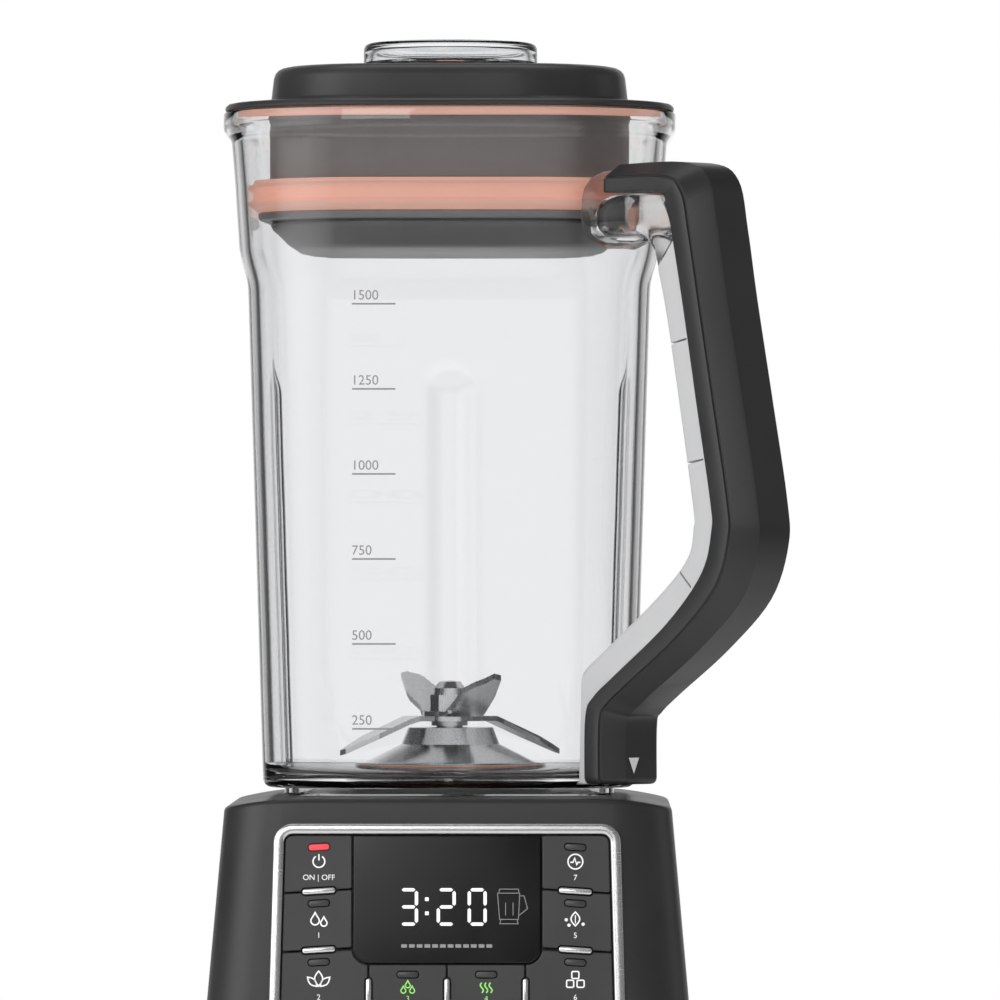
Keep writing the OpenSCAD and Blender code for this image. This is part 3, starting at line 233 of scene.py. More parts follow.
def quarter_turned(outline, quarter, z):
    """A flat outline turned by a number of quarter turns, at height z."""
    c, s = round(math.cos(math.pi / 2 * quarter)), round(math.sin(math.pi / 2 * quarter))
    return [(x * c - y * s, x * s + y * c, z) for x, y in outline]


def rounded_square(half_x, half_y, corner, z, cuts=9):
    """Corners of a rounded square at height z, counted round from its +X side."""
    points = []
    for quarter in range(4):
        hx, hy = (half_x, half_y) if quarter % 2 == 0 else (half_y, half_x)
        side = [(hx, (hy - corner) * (2 * i / (cuts + 1) - 1)) for i in range(1, cuts + 1)]
        bend = arc((hx - corner, hy - corner), corner, 0, 90, CORNER_STEPS)
        points += quarter_turned(side + bend, quarter, z)
    return points


def square_ring(half, corner, z):
    return rounded_square(half, half, corner, z)


def round_ring(radius, z, like):
    """A circle whose corners lie in the same directions as those of another ring."""
    return [(*(Vector(p[:2]).normalized() * radius), z) for p in like]


def no_flute(turn, z):
    return 0.0


def turned(name, profile, sides=96, flute=no_flute, loop=False):
    """A piece turned about the upright axis from (radius, height) pairs, with an optional flute."""
    turns = [2 * math.pi * i / sides for i in range(sides)]
    rings = []
    for radius, z in profile:
        reach = [radius - flute(t, z) for t in turns]
        rings.append([(r * math.cos(t), r * math.sin(t), z) for r, t in zip(reach, turns)])
    return skin(name, rings, loop)


def rectangle(half_u, half_v):
    return [(-half_u, -half_v), (half_u, -half_v), (half_u, half_v), (-half_u, half_v)]


FILLET_STEPS = 6
NEARLY_STRAIGHT = math.radians(89)


def fillet(points, radii):
    """Outline with each corner replaced by an arc of its radius."""
    outline = []
    for i, (at, radius) in enumerate(zip(points, radii)):
        at = Vector(at)
        before = (Vector(points[i - 1]) - at).normalized()
        after = (Vector(points[(i + 1) % len(points)]) - at).normalized()
        half = before.angle(after) / 2
        if radius <= 0 or half > NEARLY_STRAIGHT:
            outline.append(tuple(at))
            continue
        reach = radius / math.tan(half)
        middle = at + (before + after).normalized() * radius / math.sin(half)
        first = at + before * reach - middle
        last = at + after * reach - middle
        sweep = math.atan2(first.cross(last), first.dot(last))
        for k in range(FILLET_STEPS + 1):
            a = sweep * k / FILLET_STEPS
            outline.append((
                middle.x + first.x * math.cos(a) - first.y * math.sin(a),
                middle.y + first.x * math.sin(a) + first.y * math.cos(a),
            ))
    return outline


def plate(name, outline, back, front, edge=0.0, place=PANEL):
    """A flat outline drawn out from its back to its front, with a rounded front edge."""
    piece = ring_of_corners(name, [(u, v, back) for u, v in outline], fill="NGON")
    start_edit()
    bpy.ops.mesh.extrude_region_move(TRANSFORM_OT_translate={"value": (0, 0, (front - back) * MM)})
    if edge:
        bpy.ops.mesh.bevel(offset=edge * MM, segments=3, affect="EDGES")
    end_edit()
    piece.data.transform(place)
    return smooth(piece)


def even_faces(piece):
    """Keeps wide faces level in shade beside their rounded edges."""
    pick(piece)
    bpy.ops.object.modifier_add(type="WEIGHTED_NORMAL")
    even = piece.modifiers[-1]
    even.keep_sharp = True
    bpy.ops.object.modifier_apply(modifier=even.name)
    return piece


def join(name, pieces):
    """One piece made of several."""
    deselect_all()
    for piece in pieces:
        piece.select_set(True)
    bpy.context.view_layer.objects.active = pieces[0]
    bpy.ops.object.join()
    pieces[0].name = pieces[0].data.name = name
    return pieces[0]


def cut_away(piece, *tools):
    """Takes the tools' shapes out of a piece."""
    for tool in tools:
        pick(piece)
        bpy.ops.object.modifier_add(type="BOOLEAN")
        cut = piece.modifiers[-1]
        cut.operation = "DIFFERENCE"
        cut.solver = "EXACT"
        cut.object = tool
        bpy.ops.object.modifier_apply(modifier=cut.name)
    return smooth(piece)


def throw_away(*tools):
    for tool in tools:
        bpy.data.objects.remove(tool)


SHARP_ANGLE = math.radians(28)


def soften(piece, width):
    """Rounds a piece's sharp edges."""
    pick(piece)
    bpy.ops.object.modifier_add(type="BEVEL")
    bevel = piece.modifiers[-1]
    bevel.width = width * MM
    bevel.segments = 2
    bevel.limit_method = "ANGLE"
    bevel.angle_limit = SHARP_ANGLE
    bevel.harden_normals = False
    bpy.ops.object.modifier_apply(modifier=bevel.name)
    return smooth(piece)


def dress(piece, body, slot, finish, *nodes):
    """Gives a piece its finish and the body it rides on, and hides the CAD nodes it stands for; the slot is
    not used.
    """
    piece.data.materials.clear()
    piece.data.materials.append(finish)
    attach(piece, body)
    if nodes:
        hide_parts(*nodes)
    return piece


def feed(tree, node, values):
    """Gives a node's inputs their values: a link for another node's output, else the plain value."""
    for key, value in values.items():
        if isinstance(value, bpy.types.NodeSocket):
            tree.links.new(value, node.inputs[key])
        else:
            node.inputs[key].default_value = value


def add_node(tree, kind, values, operation=None):
    """Adds a shader node, feeds it and hands on its first output."""
    node = tree.nodes.new("ShaderNode" + kind)
    if operation:
        node.operation = operation
    feed(tree, node, values)
    return node.outputs[0]


def sums(tree, operation, first, second):
    return add_node(tree, "Math", {0: first, 1: second}, operation)


def ranged(tree, value, start, end, low, high):
    """Maps values between start and end to those between low and high."""
    return add_node(tree, "MapRange", {
        "Value": value, "From Min": start, "From Max": end, "To Min": low, "To Max": high,
    })


def new_finish(name):
    """A material with its nodes, the place of each point on its piece and its shader."""
    finish = bpy.data.materials.new(name)
    finish.use_nodes = True
    tree = finish.node_tree
    place = tree.nodes.new("ShaderNodeTexCoord").outputs["Object"]
    return finish, tree, place, tree.nodes["Principled BSDF"]


NOISE_RANGE = (0.3, 0.7)


def speckle(tree, place, scale, detail=3.0, stretch=(1, 1, 1)):
    """Noise over the piece, in patches of 1/scale metres, drawn out along an axis."""
    drawn_out = add_node(tree, "Mapping", {"Vector": place, "Scale": stretch})
    return add_node(tree, "TexNoise", {"Vector": drawn_out, "Scale": scale, "Detail": detail})


def spread(tree, noise, middle, less, more):
    """Maps noise to values round a middle one."""
    return ranged(tree, noise, *NOISE_RANGE, middle - less, middle + more)


def two_tones(tree, noise, colour, less, more):
    """Maps noise to a darker and a lighter tone of a colour."""
    ramp = tree.nodes.new("ShaderNodeValToRGB")
    for end, position, tone in zip(ramp.color_ramp.elements, NOISE_RANGE, (1 - less, 1 + more)):
        end.position = position
        end.color = (*(min(c * tone, 1.0) for c in colour), 1)
    tree.links.new(noise, ramp.inputs["Fac"])
    return ramp.outputs["Color"]


def raised(tree, noise, strength, height):
    """Shading of a fine texture, of a height in metres."""
    return add_node(tree, "Bump", {"Strength": strength, "Distance": height, "Height": noise})


def moulded(name, colour, roughness, tone=0.1, pores=1500.0, relief=0.25, glow=0.0):
    """Moulded plastic or rubber: faint flow marks in colour and gloss, and a fine eroded texture; glow is
    painted light, a faint emission in the piece's own colour.
    """
    finish, tree, place, shader = new_finish(name)
    flow = speckle(tree, place, scale=38.0)
    fine = speckle(tree, place, scale=pores, detail=2.0)
    feed(tree, shader, {
        "Base Color": two_tones(tree, flow, colour, tone, tone),
        "Roughness": spread(tree, flow, roughness, 0.03, 0.04),
        "Normal": raised(tree, fine, relief, height=0.00004),
        "Emission Color": (*colour, 1), "Emission Strength": glow,
    })
    return finish


def metal(name, colour, roughness, stretch=(1, 1, 40), scale=160.0, relief=0.12, share=1.0, grain=1.0):
    """Worked metal: brush or grind marks drawn out along one axis."""
    finish, tree, place, shader = new_finish(name)
    marks = speckle(tree, place, scale, detail=5.0, stretch=stretch)
    feed(tree, shader, {
        "Base Color": two_tones(tree, marks, colour, 0.07 * grain, 0.05 * grain),
        "Roughness": spread(tree, marks, roughness, 0.05 * grain, 0.08 * grain),
        "Normal": raised(tree, marks, relief, height=0.00003),
        "Metallic": share,
    })
    return finish


def clear(name, tint, roughness, share=1.0, bend=1.5):
    """Clear moulded plastic with faint sink marks in its gloss."""
    finish, tree, place, shader = new_finish(name)
    flow = speckle(tree, place, scale=26.0, detail=1.0)
    feed(tree, shader, {
        "Base Color": (*tint, 1),
        "Roughness": spread(tree, flow, roughness, 0.0, 0.02),
        "Normal": raised(tree, flow, strength=0.12, height=0.0006),
        "Transmission Weight": share, "IOR": bend,
    })
    return finish


def printed(name, colour, glow=0.0):
    """Printed or lit marking, slightly uneven like screen print; glow makes it emit, real light for the lit
    indicator and digits, painted light for plain print.
    """
    finish, tree, place, shader = new_finish(name)
    ink = speckle(tree, place, scale=900.0)
    feed(tree, shader, {
        "Base Color": two_tones(tree, ink, colour, 0.06, 0.0),
        "Roughness": spread(tree, ink, 0.47, 0.05, 0.05),
        "Emission Color": (*colour, 1), "Emission Strength": glow,
    })
    return finish


base_plastic = moulded("base_dark_plastic", (0.024, 0.024, 0.025), 0.40)
cover_plastic = moulded("handle_black_plastic", (0.021, 0.021, 0.022), 0.38)
lid_plastic = moulded("lid_black_plastic", (0.032, 0.032, 0.033), 0.36)
drum_plastic = moulded("lid_drum_plastic", (0.26, 0.258, 0.256), 0.42)
tray_plastic = moulded("lid_tray_plastic", (0.14, 0.139, 0.139), 0.40)
key_plastic = moulded("key_charcoal_plastic", (0.040, 0.040, 0.041), 0.36, pores=2200.0)
land_plastic = moulded("panel_land_plastic", (0.036, 0.036, 0.037), 0.36, pores=2200.0)
lens_gloss = moulded("display_gloss_black", (0.003, 0.003, 0.0034), 0.13, relief=0.0)
inner_plastic = moulded("inner_plastic", (0.05, 0.05, 0.052), 0.5)
foot_rubber = moulded("foot_rubber", (0.02, 0.02, 0.02), 0.75, pores=900.0, relief=0.5)
# Painted glow: the pink silicone seals emit a faint light in their own colour, so they look brighter than
# the lamps alone light them.
seal_silicone_painted_glow = moulded("seal_pink_silicone", (1.0, 0.55, 0.43), 0.45, tone=0.05, pores=1200.0, glow=0.28)
frame_silver = metal("frame_bright_silver", (0.78, 0.785, 0.79), 0.26, relief=0.0, share=0.85, grain=0.2)
bar_chrome = metal("key_bar_silver", (0.86, 0.865, 0.87), 0.2, relief=0.0, share=0.8, grain=0.2)
blade_steel = metal("blade_ground_steel", (0.70, 0.71, 0.72), 0.22, stretch=(30, 30, 1))
shaft_steel = metal("turned_steel", (0.66, 0.67, 0.68), 0.28, stretch=(1, 1, 60))
core_steel = metal("laminated_steel", (0.42, 0.43, 0.45), 0.45, stretch=(1, 1, 90))
motor_alloy = metal("cast_alloy", (0.56, 0.57, 0.58), 0.48, stretch=(1, 1, 1), scale=600.0)
copper_wire = metal("wound_copper", (0.72, 0.36, 0.18), 0.35, stretch=(1, 1, 50))
brush_carbon = moulded("brush_carbon", (0.03, 0.03, 0.03), 0.6)
board_green = moulded("board_green_lacquer", (0.03, 0.16, 0.08), 0.35)
jug_clear = clear("jug_clear_plastic", (0.93, 0.935, 0.94), 0.01)
grip_frosted = clear("grip_frosted_plastic", (0.68, 0.685, 0.69), 0.34, 0.3)
lug_smoky = clear("grip_root_smoky", (0.64, 0.632, 0.628), 0.08, bend=1.38)
cap_clear = clear("cap_clear_plastic", (0.90, 0.91, 0.92), 0.03, bend=1.25)
led_dark = moulded("indicator_off", (0.045, 0.045, 0.046), 0.3, pores=2500.0)
led_red = printed("indicator_lit_red", (0.76, 0.06, 0.075), 0.22)
# Painted glow: the plain white and green print emits a faint light, so it reads brighter than the lamps
# light it.
print_white = printed("print_white", (0.86, 0.86, 0.86), 0.12)
print_green = printed("print_green", (0.30, 0.78, 0.16), 0.12)
# Painted shade: the jug's scale ink is white, painted dark grey so that it reads as white ink in shade
# against the bright jug.
scale_ink_painted_shade = printed("scale_ink_painted_shade", (0.26, 0.26, 0.265))
print_grey = printed("print_grey", (0.30, 0.30, 0.31))
digit_white = printed("display_digits", (0.84, 0.84, 0.84), 0.35)

slot_finishes = {
    "housing_black": base_plastic, "cover_black": cover_plastic, "lid_black": lid_plastic,
    "key_black": key_plastic, "lens_black": lens_gloss, "frame_silver": frame_silver,
    "clear_plastic": jug_clear, "seal_pink": seal_silicone_painted_glow, "rubber_black": foot_rubber,
    "blade_steel": blade_steel, "bearing_steel": shaft_steel, "shaft_steel": shaft_steel,
    "core_steel": core_steel, "motor_metal": motor_alloy, "copper": copper_wire,
    "carbon": brush_carbon, "inner_plastic": inner_plastic, "board_green": board_green,
    "light_pipe": led_dark,
}


BASE_CUTS = 15
RING_COUNT = 4 * (BASE_CUTS + CORNER_STEPS + 1)


def base_ring(heights, inset=0.0):
    """Ring round the leaning walls, each corner at its own height."""
    foot, seat = (
        rounded_square(half[0] - inset, half[1] - inset, BASE_CORNER - inset, 0, BASE_CUTS)
        for half in (FOOT_HALF, SEAT_HALF)
    )
    return [
        (mix(f[0], s[0], z / SEAT), mix(f[1], s[1], z / SEAT), z)
        for f, s, z in zip(foot, seat, heights)
    ]


def level_ring(z, inset=0.0):
    return base_ring([z] * RING_COUNT, inset)


def roof_at(x):
    """Height of the roof, flat in the middle and falling to the sides."""
    over = max(abs(x) - ROOF_FLAT, 0)
    return SEAT - ROOF_R + math.sqrt(ROOF_R ** 2 - over ** 2)


def panel_half(v):
    return PANEL_HALF + (PANEL_TOP - v) * PANEL_FLARE


def panel_outline(inset):
    """Outline of the silver frame, drawn in by an inset."""
    top, low = PANEL_TOP - inset, PANEL_LOW + inset
    wide, narrow = panel_half(low) - inset, panel_half(top) - inset
    radius = max(FRAME_R - inset, 0.8)
    return fillet([(-wide, low), (wide, low), (narrow, top), (-narrow, top)], [radius] * 4)


FOOT_EDGE = 1.0
WELL_EDGE = 1.6
WELL_EDGE_STEPS = ((-0.62, 1.48), (-1.13, 1.13), (-1.48, 0.62), (-1.6, 0))


def make_base_housing():
    """Leaning walls, arched roof, drive well and the inside of the shell, as one closed skin."""
    wall_top = [roof_at(p[0]) - EDGE for p in level_ring(SEAT, EDGE)]
    rings = [level_ring(SKIRT, FOOT_EDGE), level_ring(SKIRT + FOOT_EDGE)]
    for share in (0.25, 0.5, 0.75, 0.9, 1.0):
        rings.append(base_ring([mix(SKIRT + FOOT_EDGE, top, share) for top in wall_top]))
    for turn in (18, 36, 54, 72, 90):
        a = math.radians(turn)
        rings.append(base_ring([top + EDGE * math.sin(a) for top in wall_top], EDGE * (1 - math.cos(a))))
    eaves = rings[-1]
    well = round_ring(WELL_R + WELL_EDGE, SEAT, eaves)
    for share in (0.15, 0.3, 0.45, 0.6, 0.8):
        row = [Vector(e).lerp(Vector(w), share) for e, w in zip(eaves, well)]
        rings.append([(p.x, p.y, roof_at(p.x)) for p in row])
    rings.append(well)
    under = WELL_FLOOR - BASE_WALL
    ceiling = roof_at(SEAT_HALF[0] - BASE_WALL) - BASE_WALL
    well_profile = shifted((WELL_R + WELL_EDGE, SEAT - WELL_EDGE), WELL_EDGE_STEPS)
    well_profile += shifted((WELL_R, WELL_FLOOR), ((0, 2), (-0.6, 0.6), (-2, 0)))
    well_profile += shifted((0, WELL_FLOOR), ((26, 0), (24.6, 1.2), (22, 1.2), (20.6, 0), (12, 0)))
    well_profile += [(12, under), (WELL_R + BASE_WALL, under), (WELL_R + BASE_WALL, ceiling)]
    rings += [round_ring(radius, z, eaves) for radius, z in well_profile]
    rings += [level_ring(ceiling, BASE_WALL), level_ring(SKIRT, BASE_WALL)]
    return skin("base_shell", rings, loop=True)


VENT_UP = 62.0
VENT_STEP = 6.0
VENT_HALF = (1.2, 17.0)
VENT_DEPTH = 10.0


def slot_tool(number):
    """Rounded slot through the rear wall, counted from the middle one."""
    outline = fillet(rectangle(*VENT_HALF), [VENT_HALF[0] * 0.96] * 4)
    rear = mix(FOOT_HALF[1], SEAT_HALF[1], VENT_UP / SEAT)
    place = Matrix.Translation((number * VENT_STEP * MM, rear * MM, VENT_UP * MM))
    place @= Matrix.Rotation(-math.pi / 2, 4, "X")
    return plate(f"slot_tool_{number}", outline, -VENT_DEPTH, VENT_DEPTH, place=place)


WINDOW_LAP = 1.2
WINDOW_DEPTH = 9

base_shell = make_base_housing()
window_tool = plate("window_tool", panel_outline(FRAME_W - WINDOW_LAP), -WINDOW_DEPTH, WINDOW_DEPTH)
vent_tool = join("vent_tool", [slot_tool(number) for number in range(-4, 5)])
cut_away(base_shell, window_tool, vent_tool)
throw_away(window_tool, vent_tool)
dress(base_shell, "base", "housing_black", base_plastic, "base_housing")


def row_line(u, row):
    """Height of the line under a key row, drooping to the sides."""
    return ROWS[row] - (abs(u) - BAR_U) * math.tan(DROOP)


def key_low(u, row):
    return row_line(u, row) + KEY_GAP / 2


def key_high(u, row):
    return DISPLAY_TOP if row == 0 else row_line(u, row - 1) - KEY_GAP / 2


def key_side(v):
    return panel_half(v) - FRAME_W - KEY_GAP


def mirrored(outline, side):
    """Outline on the right, or turned over to the left."""
    return outline if side > 0 else [(-u, v) for u, v in reversed(outline)]


def side_key_outline(side, row):
    inner = DISPLAY_HALF + KEY_GAP if row < 2 else MID_HALF + KEY_GAP / 2
    low_u, high_u = key_side(key_low(BAR_U, row)), key_side(key_high(BAR_U, row))
    top_r = FRAME_R - FRAME_W - KEY_GAP if row == 0 else KEY_R
    points = [(inner, key_low(inner, row)), (low_u, key_low(low_u, row)), (high_u, key_high(high_u, row))]
    radii = [KEY_R, KEY_R, top_r]
    if row < 2:
        points.append((inner, key_high(inner, row)))
        radii.append(KEY_R)
    else:
        reach = DISPLAY_R + KEY_GAP
        middle = (DISPLAY_HALF - DISPLAY_R, DISPLAY_LOW + DISPLAY_R)
        for turn in range(-8, -85, -9):
            a = math.radians(turn)
            points.append((middle[0] + reach * math.cos(a), middle[1] + reach * math.sin(a)))
            radii.append(0)
        points.append((inner, DISPLAY_LOW - KEY_GAP))
        radii.append(0)
    return mirrored(fillet(points, radii), side)


def mid_key_outline(side):
    low, high = key_low(MID_HALF, 2), DISPLAY_LOW - KEY_GAP
    near, far = KEY_GAP / 2, MID_HALF - KEY_GAP / 2
    return mirrored(fillet([(near, low), (far, low), (far, high), (near, high)], [KEY_R] * 4), side)


def pill(middle, half_l, half_w, tilt=0.0, radius=None):
    """Rounded bar outline about a middle, turned by an angle."""
    c, s = math.cos(tilt), math.sin(tilt)
    outline = fillet(rectangle(half_l, half_w), [radius or 0.95 * min(half_l, half_w)] * 4)
    return shifted(middle, [(u * c - v * s, u * s + v * c) for u, v in outline])


BAR_HALF = (4.9, 0.8)
BAR_R = 0.72
BAR_DOWN = 9.5
LED_HALF = (3.1, 0.9)
LED_DOWN = 3.4


def bar_outlines(grow=0.0):
    """Outlines of the bars between the keys: level ones at the sides, upright ones in the middle."""
    long, wide = BAR_HALF[0] + grow, BAR_HALF[1] + grow
    level = [
        pill((side * BAR_U, ROWS[row]), long, wide, -side * DROOP, BAR_R + grow)
        for side in (-1, 1) for row in (0, 1)
    ]
    middle = (-MID_HALF, 0.0, MID_HALF)
    return level + [pill((u, DISPLAY_LOW - BAR_DOWN), wide, long, 0.0, BAR_R + grow) for u in middle]


def led_outlines(grow=0.0):
    """Outlines of the lights at the heads of the keys, the start key's first."""
    places = [
        ((side * BAR_U, key_high(BAR_U, row) - LED_DOWN), -side * DROOP)
        for side in (-1, 1) for row in range(3)
    ]
    places += [((side * MID_HALF / 2, DISPLAY_LOW - LED_DOWN), 0.0) for side in (-1, 1)]
    return [pill(middle, LED_HALF[0] + grow, LED_HALF[1] + grow, tilt) for middle, tilt in places]


def plates(name, outlines, back, front, edge=0.0):
    return [plate(f"{name}_{i}", outline, back, front, edge) for i, outline in enumerate(outlines)]


def frame_rings():
    """Section of the silver frame: low sides under a crowned front."""
    crown = ((0, -0.7), (0.1, -0.42), (0.35, -0.18), (0.85, -0.05), (FRAME_W / 2, 0))
    section = [(0, 0)] + shifted((0, FRAME_T), crown)
    section += [(FRAME_W - d, w) for d, w in reversed(section[:-1])]
    return [[(u, v, w) for u, v in panel_outline(inset)] for inset, w in section]


silver_frame = skin("silver_frame", frame_rings(), loop=True)
silver_frame.data.transform(PANEL)
dress(silver_frame, "base", "frame_silver", frame_silver, "control_frame")

BAR_GAP, LED_GAP = 0.5, 0.3
TOOL_DEPTH = 6
KEY_EDGE, BAR_EDGE, LED_EDGE, LENS_EDGE = 0.3, 0.45, 0.2, 0.35
BAR_RISE, LED_RISE = 0.7, 0.05
LENS_BACK, LENS_FACE = -1.4, KEY_FACE + 0.1
key_names = {
    "start_stop_key": (-1, 0), "drops_key": (-1, 1), "leaf_key": (-1, 2),
    "pulse_key": (1, 0), "grind_key": (1, 1), "ice_key": (1, 2),
    "cream_key": (-1, None), "soup_key": (1, None),
}
bar_tools = plates("bar_tool", bar_outlines(BAR_GAP), -TOOL_DEPTH, TOOL_DEPTH)
led_tools = plates("led_tool", led_outlines(LED_GAP), -TOOL_DEPTH, TOOL_DEPTH)
key_tool = join("key_tool", bar_tools + led_tools)
for name, (side, row) in key_names.items():
    outline = mid_key_outline(side) if row is None else side_key_outline(side, row)
    cap = plate(name + "_cap", outline, KEY_FACE - KEY_T, KEY_FACE, KEY_EDGE)
    cut_away(cap, key_tool)
    even_faces(cap)
    dress(cap, name + "_body", "key_black", key_plastic, name)
throw_away(key_tool)

bars = plates("bar", bar_outlines(), CARRIER_FLOOR, KEY_FACE + BAR_RISE, BAR_EDGE)
dress(join("silver_bars", bars), "base", "frame_silver", bar_chrome, "key_trim_bars")

lit_led, *dark_leds = plates("led", led_outlines(), CARRIER_FLOOR, KEY_FACE + LED_RISE, LED_EDGE)
lit_led.name = lit_led.data.name = "start_light"
dress(lit_led, "base", "light_pipe", led_red)
dress(join("key_lights", dark_leds), "base", "light_pipe", led_dark, "indicator_light_pipes")

lens_corners = [
    (-DISPLAY_HALF, DISPLAY_LOW), (DISPLAY_HALF, DISPLAY_LOW),
    (DISPLAY_HALF, DISPLAY_TOP), (-DISPLAY_HALF, DISPLAY_TOP),
]
lens_outline = fillet(lens_corners, [DISPLAY_R, DISPLAY_R, KEY_R, KEY_R])
lens = plate("display_glass", lens_outline, LENS_BACK, LENS_FACE, LENS_EDGE)
dress(even_faces(lens), "base", "lens_black", lens_gloss, "display_lens")


KNOB_PLACE = PANEL @ Matrix.Translation((0, KNOB_UP * MM, (KEY_FACE + 0.3) * MM))
FLUTES = 24
FLUTED_FROM, FLUTED_TO = 4.0, KNOB_H - 0.6
BORE_R, BORE_TOP = 3.4, KNOB_H - 3


def knob_flute(turn, z):
    """Depth of the grip flutes round the knob's side, running out at both ends."""
    if not FLUTED_FROM < z < FLUTED_TO:
        return 0.0
    return 0.75 * max(math.cos(FLUTES * turn), 0) ** 0.7


def make_knob():
    """Fluted knob with a foot flange, a dished face and a bore for the shaft."""
    profile = shifted((KNOB_R, 0), (
        (-0.6, 0), (0, 0.5), (0, 2.7), (-0.25, 3.2), (-1.0, 3.6), (-1.15, 3.95), (-1.15, 4.1), (-1.3, 7.0),
    ))
    profile += shifted((KNOB_R, KNOB_H), (
        (-1.6, -1.9), (-1.85, -1.0), (-2.1, -0.6), (-2.7, -0.2), (-3.6, 0), (-4.4, -0.1), (-5.0, -0.5),
    ))
    profile += [(6.0, KNOB_H - 0.75), (1.0, KNOB_H - 0.8)]
    knob = turned("ribbed_knob", profile, FLUTES * 8, knob_flute)
    bore = turned("bore_tool", [(BORE_R, -1), (BORE_R, BORE_TOP)], 48)
    cut_away(knob, bore)
    throw_away(bore)
    return knob


foot_band = ((-0.4, 0.8), (0.1, 0.8), (0.25, 1.0), (0.25, 2.2), (0.1, 2.45), (-0.4, 2.45))
ribbed_knob = make_knob()
knob_ring = turned("knob_ring", shifted((KNOB_R, 0), foot_band), 120, loop=True)
for piece in (ribbed_knob, knob_ring):
    piece.data.transform(KNOB_PLACE)
dress(ribbed_knob, "knob_body", "key_black", key_plastic, "speed_knob")
dress(knob_ring, "knob_body", "frame_silver", bar_chrome)
pointer_bar = plate("knob_pointer", pill((0, 9.2), 0.6, 3.4), KNOB_H - 1.2, KNOB_H - 0.3, 0.2, KNOB_PLACE)
dress(pointer_bar, "knob_body", "key_black", print_white)


def flute_at(across, z):
    """Depth of the flute in a side of the jug, fading over its round top."""
    up = max(z - FLUTE_TOP + FLUTE_W / 2, 0)
    return FLUTE_DEPTH * (1 + math.cos(math.pi * min(math.hypot(across, up) / (FLUTE_W / 2), 1))) / 2


FLUTE_STEPS = 16


def jug_ring(half, corner, z, inset=0.0, fluted=True):
    """Ring round the jug with a flute in the middle of each side."""
    h, r = half - inset, corner - inset
    across = [FLUTE_W * (i / FLUTE_STEPS - 0.5) for i in range(FLUTE_STEPS + 1)]
    outline = [(h - (flute_at(a, z) if fluted else 0), a) for a in across]
    outline += arc((h - r, h - r), r, 0, 90, 12)
    return [place for quarter in range(4) for place in quarter_turned(outline, quarter, z)]


def body_half(z):
    return mix(BODY_FOOT, BODY_TOP, (z - JUG_BOTTOM) / (SHOULDER - JUG_BOTTOM))


def body_corner(z):
    return mix(BODY_CORNER, SHOULDER_CORNER, (z - JUG_BOTTOM) / (SHOULDER - JUG_BOTTOM))


def wall_rings(inset):
    """Body, shoulder and collar of the jug up to under the lip, drawn in by an inset."""
    low, fall = JUG_BOTTOM + 8, SHOULDER - 2.5
    heights = [low, mix(low, FLUTE_TOP, 0.3), mix(low, FLUTE_TOP, 0.6), FLUTE_TOP - FLUTE_W / 2]
    heights += [FLUTE_TOP - FLUTE_W / 2 * (1 - i / 10) for i in range(1, 11)]
    heights.append(mix(FLUTE_TOP, fall, 0.6))
    rings = [jug_ring(body_half(z), body_corner(z), z, inset) for z in heights]
    rise = COLLAR + 3 - fall
    for i in range(11):
        share = ease(i / 10)
        half = mix(body_half(fall), COLLAR_LOW, share)
        corner = mix(body_corner(fall), COLLAR_CORNER - 1, share)
        rings.append(jug_ring(half, corner, fall + rise * i / 10, inset))
    middle = mix(COLLAR, LIP - 10, 0.6)
    rings.append(jug_ring(mix(COLLAR_LOW, COLLAR_TOP, 0.5), COLLAR_CORNER - 0.5, middle, inset))
    rings.append(jug_ring(COLLAR_TOP, COLLAR_CORNER, LIP - 10, inset))
    return rings


def flare_ring(share, down, inset=0.0):
    """Ring of the flare between collar and lip: share of the way out, distance below the lip."""
    half, corner = mix(COLLAR_TOP, LIP_HALF, share), mix(COLLAR_CORNER, LIP_CORNER, share)
    return jug_ring(half, corner, LIP - down, inset)


def floor_edge(floor, radius, inset=0.0):
    """Rings of the rounded edge between a floor of the jug and its wall."""
    rings = []
    for turn in (0, 22, 45, 67, 90):
        a = math.radians(turn)
        z = floor + radius * (1 - math.cos(a))
        rings.append(jug_ring(body_half(z) - radius * (1 - math.sin(a)), body_corner(z), z, inset))
    return rings


FLARE_OUT = (
    (0.04, 9.3), (0.15, 8.5), (0.40, 7.6), (0.70, 6.7), (0.90, 5.8), (0.98, 5.0), (1, 4.2), (1, 0.9),
)
FLARE_IN = ((1, 3.6), (0.98, 4.3), (0.88, 5.0), (0.65, 6.0), (0.35, 7.0), (0.12, 8.1), (0.03, 9.2))
OUTER_EDGE, INNER_EDGE = 2.6, 4.0
FOOT_BAND = 4


